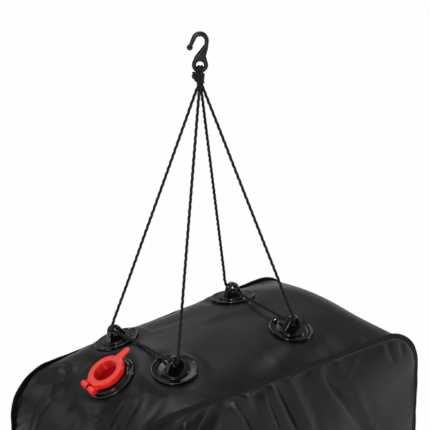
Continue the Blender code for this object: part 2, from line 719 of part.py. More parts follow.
def make_filler_cap(frame, group, helpers, look):
    """The cap: a thick ring over the neck, a plug cup inside it, a pull tab and two hinge knuckles."""
    under = CAP_LEVEL - CAP_TOP
    top = CAP_LEVEL
    skirt_low = CAP_LEVEL - CAP_HEIGHT
    ring_r = CAP_DIAMETER / 2
    skirt_r = NECK_DIAMETER / 2 + CAP_SKIRT_CLEARANCE
    plug_r = CUP_MOUTH / 2 + CUP_WALL
    floor_z = CUP_LIFT + CUP_FLOOR
    cup = cup_profile(top, floor_z)
    cup.reverse()
    profile = ([(0, floor_z)] + cup
               + [(ring_r - CAP_EDGE, top), (ring_r, top - CAP_EDGE), (ring_r, skirt_low),
                  (skirt_r, skirt_low), (skirt_r, under), (plug_r, under),
                  (plug_r - CUP_DRAFT, CUP_LIFT), (0, CUP_LIFT)])
    cap = turned("filler_cap", profile, FILLER_STEPS, group, look)
    cap.matrix_world = frame

    tab_low = top - TAB_THICKNESS
    tip_x = ring_r + TAB_LENGTH - TAB_TIP_RADIUS
    tip = arc_points((tip_x, 0), TAB_TIP_RADIUS, -math.pi / 2, math.pi / 2, TAB_STEPS)
    root_x = ring_r - (ring_r - CUP_MOUTH / 2) / 2
    tab_shape = [(root_x, -TAB_ROOT / 2)] + tip + [(root_x, TAB_ROOT / 2)]
    tab = flat_plate("cap_tab", [tab_shape], TAB_THICKNESS, TAB_EDGE, helpers)
    lay_flat = Matrix.Translation((0, 0, tab_low + TAB_THICKNESS / 2 - TAB_SINK))
    tab.matrix_world = lay_flat @ Matrix.Rotation(-math.pi / 2, 4, "X") @ tab.matrix_world

    near = HINGE_POST / 2 + RUNNING_GAP
    far = near + KNUCKLE_LENGTH
    web_end = -HINGE_REACH + WEB_REACH
    web_shape = [(-HINGE_REACH, -far + WEB_INSET), (web_end, -far + WEB_TAPER),
                 (web_end, far - WEB_TAPER), (-HINGE_REACH, far - WEB_INSET)]
    web_thickness = CAP_TOP - 2 * WEB_INSET
    web = flat_plate("hinge_web", [web_shape], web_thickness, WEB_INSET, helpers)
    lay_flat = Matrix.Translation((0, 0, top - WEB_INSET - web_thickness / 2))
    web.matrix_world = lay_flat @ Matrix.Rotation(-math.pi / 2, 4, "X") @ web.matrix_world
    knuckle = rod("knuckle", (-HINGE_REACH, -far, HINGE_HEIGHT), (-HINGE_REACH, far, HINGE_HEIGHT),
                  KNUCKLE_DIAMETER, KNUCKLE_STEPS, helpers)
    bore = rod("knuckle_bore", (-HINGE_REACH, -far - OVERRUN, HINGE_HEIGHT),
               (-HINGE_REACH, far + OVERRUN, HINGE_HEIGHT), BAR_DIAMETER + 2 * RUNNING_GAP, KNUCKLE_STEPS,
               helpers)
    slot_half = KNUCKLE_SLOT / 2
    snap_slot = box("snap_slot", (-HINGE_REACH - slot_half, -far - OVERRUN, HINGE_HEIGHT - KNUCKLE_DIAMETER),
                    (-HINGE_REACH + slot_half, far + OVERRUN, HINGE_HEIGHT), helpers)
    post_room = box("post_room", (-HINGE_REACH - KNUCKLE_DIAMETER, -near, skirt_low - OVERRUN),
                    (-ring_r, near, top + OVERRUN), helpers)
    for helper, operation in ((as_cutter(tab), "UNION"), (as_cutter(web), "UNION"), (knuckle, "UNION"),
                              (bore, "DIFFERENCE"), (snap_slot, "DIFFERENCE"), (post_room, "DIFFERENCE")):
        helper.matrix_world = frame @ helper.matrix_world
        boolean(cap, helper, operation, helper.name)
    return cap


def make_filler_seal(frame, group, look):
    """A flat ring that lies on the neck under the cap."""
    inner = NECK_BORE / 2 + SEAL_INSET
    outer = NECK_DIAMETER / 2 - SEAL_INSET
    low = NECK_HEIGHT + SEAT_GAP
    high = low + SEAL_THICKNESS
    seal = turned("filler_seal", [(inner, high), (outer, high), (outer, low), (inner, low)], FILLER_STEPS,
                  group, look, closed=True)
    seal.matrix_world = frame
    return seal


def make_outlet(frame, core, group, looks):
    """The outlet at the bottom, drawn as if it stood up: welded base, washer and barbed spigot."""
    socket_r = OUTLET_SOCKET / 2
    neck_r = OUTLET_NECK_DIAMETER / 2
    flange_r = OUTLET_FLANGE_DIAMETER / 2
    profile = [(socket_r, OUTLET_NECK), (neck_r, OUTLET_NECK), (neck_r, OUTLET_FLANGE),
               (flange_r, OUTLET_FLANGE), (flange_r, -OUTLET_SKIRT), (socket_r, -OUTLET_SKIRT)]
    base = turned("outlet_base", profile, OUTLET_STEPS, group, looks["fitting"], closed=True)
    boolean(base, core, "DIFFERENCE", "fabric")

    collar_r = SPIGOT_COLLAR_DIAMETER / 2
    plug_r = socket_r - SEAT_GAP
    washer_low = OUTLET_NECK + SEAT_GAP
    washer_high = washer_low + WASHER_THICKNESS
    profile = [(socket_r, washer_high), (collar_r, washer_high), (collar_r, washer_low),
               (socket_r, washer_low)]
    washer = turned("outlet_washer", profile, OUTLET_STEPS, group, looks["rubber"], closed=True)

    bore_r = SPIGOT_BORE / 2
    tube_r = SPIGOT_TUBE_DIAMETER / 2
    collar_low = washer_high + SEAT_GAP
    collar_high = collar_low + SPIGOT_COLLAR
    end = collar_high + SPIGOT_LENGTH
    profile = [(bore_r, end), (tube_r, end)]
    for i in range(BARB_COUNT):
        z = end - BARB_PITCH * i
        profile += [(tube_r + BARB_RISE, z - BARB_PITCH * BARB_CREST_SHARE),
                    (tube_r, z - BARB_PITCH * BARB_ROOT_SHARE)]
    profile += [(tube_r, collar_high), (collar_r, collar_high), (collar_r, collar_low), (plug_r, collar_low),
                (plug_r, OUTLET_FLANGE), (bore_r, OUTLET_FLANGE)]
    spigot = turned("outlet_spigot", profile, OUTLET_STEPS, group, looks["fitting"], closed=True)
    for piece in (base, washer, spigot):
        piece.matrix_world = frame


def hook_outline():
    """The hook's edge in its own plane, with (0, 0) at the inside top of the bend."""
    bend = (0.0, -HOOK_BEND_RADIUS)
    outer_r = HOOK_BEND_RADIUS + HOOK_ARM
    eye_r = EYE_DIAMETER / 2
    eye = (0.0, -EYE_DROP)
    tip = Vector((HOOK_TIP_X, -HOOK_TIP_DROP))
    toward = (Vector((-HOOK_BEND_RADIUS - HOOK_ARM / 2, -HOOK_BEND_RADIUS)) - tip).normalized()
    aside = Vector((-toward.y, toward.x)) * HOOK_TIP_ARM / 2
    shank_x = outer_r - (outer_r - WAIST_RIGHT) * HOOK_SHANK_TAPER_SHARE
    outer = [tuple(tip + aside)] + arc_points(bend, outer_r, HOOK_OUTER_START, 0, HOOK_ARC_STEPS)
    right = [(shank_x, -HOOK_SHANK_DROP - HOOK_ARM), (WAIST_RIGHT, -WAIST_DROP)]
    eye_arc = arc_points(eye, eye_r, EYE_ARC_START, EYE_ARC_END, EYE_ARC_STEPS)
    left = [(-WAIST_LEFT, -WAIST_DROP), (HOOK_BEND_RADIUS, -HOOK_SHANK_DROP)]
    inner = arc_points(bend, HOOK_BEND_RADIUS, 0, HOOK_INNER_END, HOOK_ARC_STEPS)
    return outer + right + eye_arc + left + inner + [tuple(tip - aside)]


def make_hook(group, helpers, look):
    """The plastic hook, with a ball at its tip and the rope's eye at its lower end."""
    eye_hole = arc_points((0.0, -EYE_DROP), EYE_HOLE / 2, 0, 2 * math.pi, EYE_HOLE_STEPS)[:-1]
    hook = flat_plate("hook", [hook_outline(), eye_hole], HOOK_THICKNESS, HOOK_EDGE, group, look)
    ball_mesh = bmesh.new()
    bmesh.ops.create_uvsphere(ball_mesh, u_segments=HOOK_BALL_RINGS[0], v_segments=HOOK_BALL_RINGS[1],
                              radius=HOOK_BALL / 2)
    ball = as_cutter(add_object("hook_ball", mesh_from(ball_mesh, "hook_ball"), helpers))
    turn = Matrix.Rotation(HOOK_TURN, 4, "Z")
    hook.matrix_world = turn @ hook.matrix_world
    ball.matrix_world = turn @ Matrix.Translation((HOOK_TIP_X, 0, -HOOK_TIP_DROP))
    boolean(hook, ball, "UNION", "ball")
    return hook


def make_knot(group, helpers, look):
    """The hitch: two rope bights through the eye, the knot under it and the four-strand neck."""
    turn = Matrix.Rotation(HOOK_TURN, 4, "Z")
    eye_z = -EYE_DROP
    bight_width = ROPE * BIGHT_SQUEEZE_SHARE
    rim_half = HOOK_THICKNESS / 2 + SEAT_GAP + bight_width / 2
    eye_low = eye_z - EYE_DIAMETER / 2
    knot_top = eye_low - SEAT_GAP
    knot_z = knot_top - KNOT_HEIGHT / 2
    bm = bmesh.new()
    shape = Matrix.Diagonal((KNOT_WIDTH / 2, KNOT_DEPTH / 2, KNOT_HEIGHT / 2, 1))
    bmesh.ops.create_uvsphere(bm, u_segments=KNOT_RINGS[0], v_segments=KNOT_RINGS[1], radius=1.0,
                              matrix=shape)
    knot = add_object("harness_knot", mesh_from(bm, "harness_knot"), group, look)
    knot.matrix_world = turn @ Matrix.Translation((0.0, 0.0, knot_z))
    strand_x = bight_width / 2 + SEAT_GAP / 2
    room = (EYE_HOLE - bight_width) / 2 - BIGHT_CLEARANCE
    strand_z = eye_z - math.sqrt(max(room ** 2 - strand_x ** 2, 0))
    for side in (-1, 1):
        loop = [Vector((side * strand_x, rim_half, knot_z))]
        for k in range(BIGHT_STEPS + 1):
            angle = math.pi * k / BIGHT_STEPS
            loop.append(Vector((side * strand_x, rim_half * math.cos(angle),
                                strand_z - BIGHT_CROWN + BIGHT_CROWN * math.sin(angle))))
        loop.append(Vector((side * strand_x, -rim_half, knot_z)))
        bight = as_cutter(tube(f"bight_{side}", loop, bight_width, BIGHT_RESOLUTION, helpers))
        bight.matrix_world = turn
        boolean(knot, bight, "UNION", bight.name)
    neck_low = eye_z - NECK_DROP
    for i, (sx, sy) in enumerate(((-1, -1), (-1, 1), (1, -1), (1, 1))):
        end = (sx * NECK_SPREAD_X / 2, sy * NECK_SPREAD_Y / 2, neck_low)
        strand = rod(f"neck_strand_{i}", (0, 0, knot_z), end, ROPE + STRAND_MERGE, STRAND_STEPS, helpers)
        boolean(knot, strand, "UNION", strand.name)
    return knot


def make_rope(name, route, group, look):
    """One rope loop below the neck, and its length from end to end."""
    places = [Vector(place) * MM for place in route]
    chain = smooth_chain(places, ROPE_STEPS)
    length = sum((b - a).length for a, b in zip(chain, chain[1:]))
    print(f"{name} is {length / MM:.1f} mm long")
    return tube(name, chain, ROPE, ROUND_RESOLUTION, group, look)


def main():
    clear_scene()
    group = new_collection(COLLECTION_NAME)
    helpers = new_collection("cutters")
    looks = {
        "fabric": finish("pvc_coated_fabric", "26272a", 0.55),
        "lug": finish("moulded_pvc", "1a1b1d", 0.3),
        "fitting": finish("moulded_fitting", "202124", 0.35),
        "cap": finish("red_vinyl", "e3170c", 0.35),
        "rubber": finish("rubber", "191919", 0.7),
        "hook": finish("hook_nylon", "232325", 0.4),
        "rope": finish("rope", "1b1b1c", 0.9),
    }
    core = make_core(helpers)
    surface_mesh = bmesh.new()
    surface_mesh.from_mesh(core.data)
    surface = BVHTree.FromBMesh(surface_mesh)

    gusset = make_gusset(group, looks["fabric"])
    make_panel("front_panel", FRONT_Y, -1, group, looks["fabric"])
    make_panel("back_panel", BACK_Y, 1, group, looks["fabric"])

    lug_names = {(-1, 1): "lug_rear_left", (-1, -1): "lug_front_left",
                 (1, 1): "lug_rear_right", (1, -1): "lug_front_right"}
    for (sx, sy), name in lug_names.items():
        x = LUG_CENTRE_X + sx * LUG_SPACING_X / 2
        y = LUG_CENTRE_Y + sy * LUG_SPACING_Y / 2
        frame = seat_frame(surface, x, y, LUG_DIAMETER / 2)
        make_lug(name, frame, core, group, helpers, looks["lug"])
        print(name, [round(c / MM, 2) for c in frame.translation], [round(c, 3) for c in frame.col[2].xyz])

    filler = filler_frame(surface)
    print("filler", [round(c / MM, 2) for c in filler.translation], [round(c, 3) for c in filler.col[2].xyz])
    make_filler_base(filler, core, group, helpers, looks["fitting"])
    cap = make_filler_cap(filler, group, helpers, looks["cap"])
    make_filler_seal(filler, group, looks["rubber"])
    filler_hole = rod("filler_hole", (0, 0, -NECK_HEIGHT), (0, 0, NECK_HEIGHT), NECK_BORE, FILLER_STEPS,
                      helpers)
    filler_hole.matrix_world = filler @ filler_hole.matrix_world
    boolean(gusset, filler_hole, "DIFFERENCE", "filler hole")

    outlet = seat_frame(surface, BAG_CENTRE_X, BAG_CENTRE_Y, OUTLET_FLANGE_DIAMETER / 2, up=-1)
    make_outlet(outlet, core, group, looks)
    outlet_hole = rod("outlet_hole", (0, 0, -OUTLET_NECK), (0, 0, OUTLET_NECK), OUTLET_SOCKET, OUTLET_STEPS,
                      helpers)
    outlet_hole.matrix_world = outlet @ outlet_hole.matrix_world
    boolean(gusset, outlet_hole, "DIFFERENCE", "outlet hole")
    surface_mesh.free()

    make_hook(group, helpers, looks["hook"])
    make_knot(group, helpers, looks["rope"])
    make_rope("rope_left", ROPE_LEFT_ROUTE, group, looks["rope"])
    make_rope("rope_right", ROPE_RIGHT_ROUTE, group, looks["rope"])

    eye = Matrix.Translation((0.0, 0.0, -EYE_DROP)) @ Matrix.Rotation(HOOK_TURN, 4, "Z")
    eye_pivot = pivot("eye_pivot", eye, group)
    hinge = Matrix.Translation((-HINGE_REACH, 0.0, HINGE_HEIGHT))
    cap_pivot = pivot("cap_pivot", filler @ hinge, group)
    carry(cap_pivot, eye_pivot)
    carry(cap, cap_pivot)
    for piece in list(group.objects):
        if piece.parent is None and piece.name != "hook" and piece is not eye_pivot:
            carry(piece, eye_pivot)
    for empty in (eye_pivot, cap_pivot):
        axis = empty.matrix_world.col[1].xyz
        print(empty.name, [round(c, 6) for c in empty.matrix_world.translation], [round(c, 5) for c in axis])


main()
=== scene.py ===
# %% [markdown]
# # A camp shower bag
# The object is a full water bag of welded, coated fabric. Four moulded lugs carry it on two loops of
# thin rope, and the loops are hitched in the eye of a plastic hook. A red cap closes the filler.
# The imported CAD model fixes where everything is, and this lesson gives each piece its real look.

# %% Load the fixed frame
import math
import random

import bmesh
import bpy
import numpy as np
from mathutils import Matrix, Vector


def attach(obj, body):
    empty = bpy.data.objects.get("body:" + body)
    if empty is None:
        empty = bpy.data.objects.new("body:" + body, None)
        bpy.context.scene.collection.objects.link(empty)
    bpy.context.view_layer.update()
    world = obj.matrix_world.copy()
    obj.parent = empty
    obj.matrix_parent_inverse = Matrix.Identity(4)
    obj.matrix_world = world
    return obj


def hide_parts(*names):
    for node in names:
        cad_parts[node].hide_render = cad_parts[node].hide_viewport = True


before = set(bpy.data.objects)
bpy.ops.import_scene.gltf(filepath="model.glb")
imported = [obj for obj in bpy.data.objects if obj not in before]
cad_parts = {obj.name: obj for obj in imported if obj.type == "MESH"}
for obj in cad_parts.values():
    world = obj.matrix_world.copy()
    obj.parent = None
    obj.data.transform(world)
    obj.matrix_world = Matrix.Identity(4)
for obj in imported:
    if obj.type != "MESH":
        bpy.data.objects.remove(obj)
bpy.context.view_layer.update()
MM = 0.001

# %% [markdown]
# The camera stands where the photographer stood: to the front left of the bag and a little above it.
# Its distance and angles were fitted to the hook, the knot and the lug discs, so a change here would
# undo every comparison. The aim is kept by moving the camera sideways, and its shift stays zero.

# %% Camera
AZIMUTH = math.radians(-40.5)
ELEVATION = math.radians(22.8)
DISTANCE = 2.459
FOCAL_PIXELS = 2240.5
FRAME_PIXELS = 430
SENSOR = 36.0
AIM = Vector((0.003, -0.0025, -0.3417))
AIM_PIXEL = (204.3, 332.1)

back = Vector((math.sin(AZIMUTH) * math.cos(ELEVATION), -math.cos(AZIMUTH) * math.cos(ELEVATION),
               math.sin(ELEVATION)))
right = Vector((math.cos(AZIMUTH), math.sin(AZIMUTH), 0.0))
up = back.cross(right)
per_pixel = DISTANCE / FOCAL_PIXELS
middle_pixel = FRAME_PIXELS / 2
camera_place = (AIM + back * DISTANCE - right * (AIM_PIXEL[0] - middle_pixel) * per_pixel
                + up * (AIM_PIXEL[1] - middle_pixel) * per_pixel)
camera_data = bpy.data.cameras.new("camera")
camera_data.sensor_width = SENSOR
camera_data.lens = FOCAL_PIXELS / FRAME_PIXELS * SENSOR
camera_data.clip_end = 30.0
camera = bpy.data.objects.new("camera", camera_data)
bpy.context.scene.collection.objects.link(camera)
camera.matrix_world = Matrix.Translation(camera_place) @ Matrix((right, up, back)).transposed().to_4x4()
bpy.context.scene.camera = camera
print("camera at", [round(c, 3) for c in camera_place])

# %% [markdown]
# Every finish below is a tree of shader nodes. A few small helpers are enough: one turns a colour that
# was read off the real thing into linear light, one fills a node's inputs with values or links, and one
# adds a node. A noise's scale is the number of its grains in a metre, and each finish gives their size.

# %% Helpers for finishes
# The colour sockets of a Mix node share their names with others, so they are picked by number.
MIX_A, MIX_B, MIX_RESULT = 6, 7, 2


def linear(colour):
    """An sRGB hex colour as linear red, green, blue and alpha."""
    channels = [int(colour[i:i + 2], 16) / 255 for i in (0, 2, 4)]
    return [c / 12.92 if c <= 0.04045 else ((c + 0.055) / 1.055) ** 2.4 for c in channels] + [1.0]


def feed(made, inputs):
    """Fill a node's inputs: each gets a plain value, or a link from another node's output."""
    for name, value in inputs.items():
        if isinstance(value, bpy.types.NodeSocket):
            made.id_data.links.new(value, made.inputs[name])
        else:
            made.inputs[name].default_value = value


def node(tree, kind, inputs=None, stops=(), **settings):
    """Add a shader node with its settings, its inputs and a colour ramp's (place, hex colour) stops."""
    made = tree.nodes.new("ShaderNode" + kind)
    for name, value in settings.items():
        setattr(made, name, value)
    feed(made, inputs or {})
    for i, (position, colour) in enumerate(stops):
        elements = made.color_ramp.elements
        element = elements[i] if i < 2 else elements.new(position)
        element.position, element.color = position, linear(colour)
    return made


def new_finish(name):
    """A material with its tree and its Principled shader."""
    made = bpy.data.materials.new(name)
    made.use_nodes = True
    tree = made.node_tree
    return made, tree, tree.nodes["Principled BSDF"]


# %% [markdown]
# The stage is a studio sweep seen from above: a pale floor that the camera sees as white, and a dim
# white world that fills the shadows. Light Path tells the camera's rays from the others, so the
# background can be white without lighting the object as a white room would.

# %% Floor and world
FLOOR_LEVEL = -0.72
FLOOR_SIZE = 14.0
FLOOR_WHITE = 0.985
WORLD_FILL = 0.22

bpy.ops.mesh.primitive_plane_add(size=FLOOR_SIZE, location=(0, 0, FLOOR_LEVEL))
floor = bpy.context.object
floor.name = "floor"
# Matt pale paint, but the camera's rays and reflections see it as nearly pure white.
floor_finish, tree, shader = new_finish("pale_floor")
feed(shader, {"Base Color": linear("f2f2f2"), "Roughness": 0.8})
white = node(tree, "Emission", {"Color": (1, 1, 1, 1), "Strength": 1.0})
rays = node(tree, "LightPath")
seen = node(tree, "Math", {0: rays.outputs["Is Camera Ray"], 1: rays.outputs["Is Glossy Ray"]},
            operation="MAXIMUM")
share = node(tree, "Math", {0: seen.outputs[0], 1: FLOOR_WHITE}, operation="MULTIPLY")
mixed = node(tree, "MixShader", {0: share.outputs[0], 1: shader.outputs[0], 2: white.outputs[0]})
feed(tree.nodes["Material Output"], {"Surface": mixed.outputs[0]})
floor.data.materials.append(floor_finish)

world = bpy.data.worlds.new("studio")
bpy.context.scene.world = world
world.use_nodes = True
tree = world.node_tree
rays = node(tree, "LightPath")
seen = node(tree, "Math", {0: rays.outputs["Is Camera Ray"], 1: rays.outputs["Is Transmission Ray"]},
            operation="MAXIMUM")
strength = node(tree, "MapRange", {"Value": seen.outputs[0], "To Min": WORLD_FILL, "To Max": 1.0})
feed(tree.nodes["Background"], {"Color": (1, 1, 1, 1), "Strength": strength.outputs["Result"]})
print("floor", FLOOR_SIZE, "m wide, world at", WORLD_FILL)

# %% [markdown]
# Black cloth is read by its reflections, so soft lamps that are large for their distance do the work.
# Three of them above the bag lay a sheen on its crown, one at each side lights an end and the front, and
# a small one behind draws the edges of the lugs and the cap. Their level is one at which a colour comes
# out about as it is written.

# %% Lamps
BAG_HEART = Vector((0.0, 0.0, -0.4))
# Each lamp: where it stands, its width and height, its power.
LAMPS = {
    "sheen_box": ((0.7, 1.1, 0.65), (0.9, 0.45), 3.0),
    "top_box": ((0.1, 1.0, 0.9), (0.9, 0.45), 3.5),
    "high_box": ((-0.5, -0.3, 1.3), (0.9, 0.9), 7.0),
    "left_box": ((-1.75, -1.35, -0.05), (0.35, 0.7), 18.0),
    "right_box": ((1.8, -0.8, 0.4), (0.25, 0.7), 14.0),
    "rim_box": ((-1.2, 1.6, 0.6), (0.3, 0.3), 4.0),
}
for name, (stand, size, power) in LAMPS.items():
    data = bpy.data.lights.new(name, "AREA")
    data.shape = "RECTANGLE"
    data.size, data.size_y = size
    data.energy = power
    lamp = bpy.data.objects.new(name, data)
    bpy.context.scene.collection.objects.link(lamp)
    lamp.location = stand
    lamp.rotation_mode = "QUATERNION"
    lamp.rotation_quaternion = (BAG_HEART - Vector(stand)).to_track_quat("-Z", "Y")
bpy.context.scene.view_settings.view_transform = "Standard"
print(len(LAMPS), "lamps,", sum(power for _, _, power in LAMPS.values()), "W together")

# %% [markdown]
# The next helpers are the maker's hand tools. A turned piece is a half profile that is spun in edit
# mode. A plate is a flat outline with rounded edges. A tool solid is fused to a piece, or cut from it,
# with a Boolean that is applied at once. At the end each piece is settled: its place goes into its mesh.

# %% Helpers for shapes


def select_only(piece):
    """Select one object and nothing else, as an operator acts on all that is selected."""
    bpy.ops.object.select_all(action="DESELECT")
    piece.select_set(True)
    bpy.context.view_layer.objects.active = piece


def new_piece(name, points, edges, faces):
    """An object in the scene from lists of points, edges and faces."""
    mesh = bpy.data.meshes.new(name)
    mesh.from_pydata(points, edges, faces)
    piece = bpy.data.objects.new(name, mesh)
    bpy.context.scene.collection.objects.link(piece)
    return piece


def heal(threshold):
    """In edit mode: merge doubled points, turn all faces outwards, and go back to object mode."""
    bpy.ops.mesh.select_all(action="SELECT")
    bpy.ops.mesh.remove_doubles(threshold=threshold)
    bpy.ops.mesh.normals_make_consistent(inside=False)
    bpy.ops.object.mode_set(mode="OBJECT")


def turned(name, profile, steps, closed=False):
    """Spin (radius, height) points about the z axis; they run down the outer side."""
    edges = [(i, i + 1) for i in range(len(profile) - 1)]
    if closed:
        edges.append((len(profile) - 1, 0))
    piece = new_piece(name, [(r, 0.0, z) for r, z in profile], edges, [])
    select_only(piece)
    bpy.ops.object.mode_set(mode="EDIT")
    bpy.ops.mesh.select_all(action="SELECT")
    bpy.ops.mesh.spin(steps=steps, angle=2 * math.pi, center=(0, 0, 0), axis=(0, 0, 1))
    heal(0.02 * MM)
    return piece


def rounded(profile, radii, steps=4):
    """Round the corners of an open profile; a radius of zero leaves a corner sharp."""
    points = [Vector(p) for p in profile]
    made = []
    for i, here in enumerate(points):
        radius = radii[i] if i < len(radii) else 0.0
        if radius <= 0 or i in (0, len(points) - 1):
            made.append(tuple(here))
            continue
        before = points[i - 1] - here
        after = points[i + 1] - here
        reach = min(radius, before.length * 0.49, after.length * 0.49)
        start = here + before.normalized() * reach
        end = here + after.normalized() * reach
        for k in range(steps + 1):
            t = k / steps
            made.append(tuple(start * (1 - t) ** 2 + here * 2 * t * (1 - t) + end * t ** 2))
    return made


def arc(centre, radius, start, end, steps):
    """Points on an arc in a plane, with angles in degrees."""
    turns = [math.radians(start + (end - start) * i / steps) for i in range(steps + 1)]
    return [(centre[0] + radius * math.cos(a), centre[1] + radius * math.sin(a)) for a in turns]


def plate(name, outlines, thickness, edge, roundness=3):
    """A plate with rounded edges from closed (x, z) outlines; later ones are holes."""
    curve = bpy.data.curves.new(name, "CURVE")
    curve.dimensions = "2D"
    curve.fill_mode = "BOTH"
    curve.extrude = thickness / 2 - edge
    curve.bevel_depth = edge
    curve.bevel_resolution = roundness
    curve.offset = -edge
    for outline in outlines:
        spline = curve.splines.new("POLY")
        spline.points.add(len(outline) - 1)
        for point, (x, z) in zip(spline.points, outline):
            point.co = (x, z, 0.0, 1.0)
        spline.use_cyclic_u = True
    piece = bpy.data.objects.new(name, curve)
    bpy.context.scene.collection.objects.link(piece)
    select_only(piece)
    bpy.ops.object.convert(target="MESH")
    piece = bpy.context.object
    piece.data.transform(Matrix.Rotation(math.pi / 2, 4, "X"))
    bpy.ops.object.mode_set(mode="EDIT")
    heal(0.01 * MM)
    return piece


def joined_with(piece, tool, operation="UNION"):
    """Fuse a tool solid to a piece, or cut it away, and throw the tool away."""
    select_only(piece)
    step = piece.modifiers.new(operation.lower(), "BOOLEAN")
    step.operation = operation
    step.solver = "EXACT"
    step.object = tool
    bpy.ops.object.modifier_apply(modifier=step.name)
    bpy.data.objects.remove(tool, do_unlink=True)


def rod(name, start, end, diameter, steps=32):
    """A straight round rod between two points."""
    axis = Vector(end) - Vector(start)
    bpy.ops.mesh.primitive_cylinder_add(vertices=steps, radius=diameter / 2, depth=axis.length)
    made = bpy.context.object
    made.name = name
    turn = Vector((0, 0, 1)).rotation_difference(axis.normalized()).to_matrix().to_4x4()
    made.data.transform(Matrix.Translation((Vector(start) + Vector(end)) / 2) @ turn)
    return made


def block(name, low, high):
    """A block between two corners."""
    bpy.ops.mesh.primitive_cube_add(size=1.0)
    made = bpy.context.object
    made.name = name
    middle = (Vector(low) + Vector(high)) / 2
    size = Vector(high) - Vector(low)
    made.data.transform(Matrix.Translation(middle) @ Matrix.Diagonal((*size, 1.0)))
    return made


def settle(piece, body, look, nodes=(), place=None, angle=35):
    """Put a finished piece in its place on a body, with its finish and the nodes it stands for."""
    if place is not None:
        piece.data.transform(place)
    select_only(piece)
    bpy.ops.object.shade_smooth_by_angle(angle=math.radians(angle))
    piece.data.materials.clear()
    piece.data.materials.append(look)
    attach(piece, body)
    if nodes:
        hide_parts(*nodes)
    print(piece.name, len(piece.data.polygons), "faces on", body)


# %% [markdown]
# The rope is a thin black cord of three laid strands. A plain tube with a drawn twist would be quicker,
# but from a metre away the strands still show as dark grooves and paler crowns, and in the outline too.
# So the twist is real geometry here. How high a point stands on a crown goes into an attribute, which
# paints shade into the grooves, so the crowns stay paler; a fibre noise breaks up their tone as fluff.

# %% Rope finish
# Spun polyester: matt, with a fine fuzz that catches the light along the strands. Real fibres are far
# too fine to show, so they are drawn 1.1 mm wide.
FIBRE_SCALE = 900.0

rope_look, tree, shader = new_finish("laid_polyester_rope")
crown = node(tree, "Attribute", attribute_name="crown")
rope_map = node(tree, "UVMap", uv_map="lay")
fibres = node(tree, "TexNoise", {"Vector": rope_map.outputs[0], "Scale": FIBRE_SCALE, "Detail": 3.0})
# Painted shade: low crown values darken the grooves between strands, and the crowns stay paler.
groove_shade_and_fibres = node(tree, "Math", {0: crown.outputs["Fac"], 1: fibres.outputs["Fac"]}, operation="MULTIPLY")
tint = node(tree, "ValToRGB", {"Fac": groove_shade_and_fibres.outputs[0]},
            [(0.0, "030303"), (0.25, "0a0a0b"), (0.75, "242426")])
fuzz = node(tree, "Bump", {"Height": fibres.outputs["Fac"], "Strength": 0.4, "Distance": 0.3 * MM})
feed(shader, {"Base Color": tint.outputs["Color"], "Roughness": 0.8, "Specular IOR Level": 0.3,
              "Sheen Weight": 0.05, "Sheen Roughness": 0.5, "Normal": fuzz.outputs[0]})
print(rope_look.name, "has", len(tree.nodes), "nodes")

# %% A rope along a route
ROPE = 3.5 * MM
STRAND_RADIUS = 0.812 * MM
STRAND_OFFSET = 0.938 * MM
GROOVE_RADIUS = 1.02 * MM
LAY_LENGTH = 23 * MM
ROPE_STEP = 1.15 * MM
ROPE_SIDES = 18
SPAN_STEPS = 40


def strand_profile():
    """Angle and radius round the rope: three crowns with grooves between them."""
    rows = []
    for i in range(ROPE_SIDES):
        turn = 2 * math.pi * i / ROPE_SIDES
        off = (turn + math.pi / 3) % (2 * math.pi / 3) - math.pi / 3
        inside = STRAND_RADIUS ** 2 - (STRAND_OFFSET * math.sin(off)) ** 2
        radius = STRAND_OFFSET * math.cos(off) + math.sqrt(max(inside, 0.0))
        rows.append((turn, max(radius, GROOVE_RADIUS)))
    return rows


def smooth_path(points):
    """Points at an even step along a smooth curve through a route, and the curve's length."""
    spans = [(b - a).length for a, b in zip(points, points[1:])]
    slopes = [(points[1] - points[0]) / spans[0]]
    for i in range(1, len(points) - 1):
        before = (points[i] - points[i - 1]) / spans[i - 1]
        after = (points[i + 1] - points[i]) / spans[i]
        slopes.append((before * spans[i] + after * spans[i - 1]) / (spans[i] + spans[i - 1]))
    slopes.append((points[-1] - points[-2]) / spans[-1])
    fine = []
    for i, span in enumerate(spans):
        leave = points[i] + slopes[i] * span / 3
        arrive = points[i + 1] - slopes[i + 1] * span / 3
        for k in range(SPAN_STEPS):
            t = k / SPAN_STEPS
            fine.append(points[i] * (1 - t) ** 3 + leave * 3 * t * (1 - t) ** 2
                        + arrive * 3 * t ** 2 * (1 - t) + points[i + 1] * t ** 3)
    fine.append(points[-1].copy())
    reach = np.cumsum([0.0] + [(b - a).length for a, b in zip(fine, fine[1:])])
    count = max(int(reach[-1] / ROPE_STEP), 2)
    marks = np.linspace(0, reach[-1], count + 1)
    columns = [np.interp(marks, reach, [p[i] for p in fine]) for i in range(3)]
    return [Vector(p) for p in zip(*columns)], float(reach[-1])


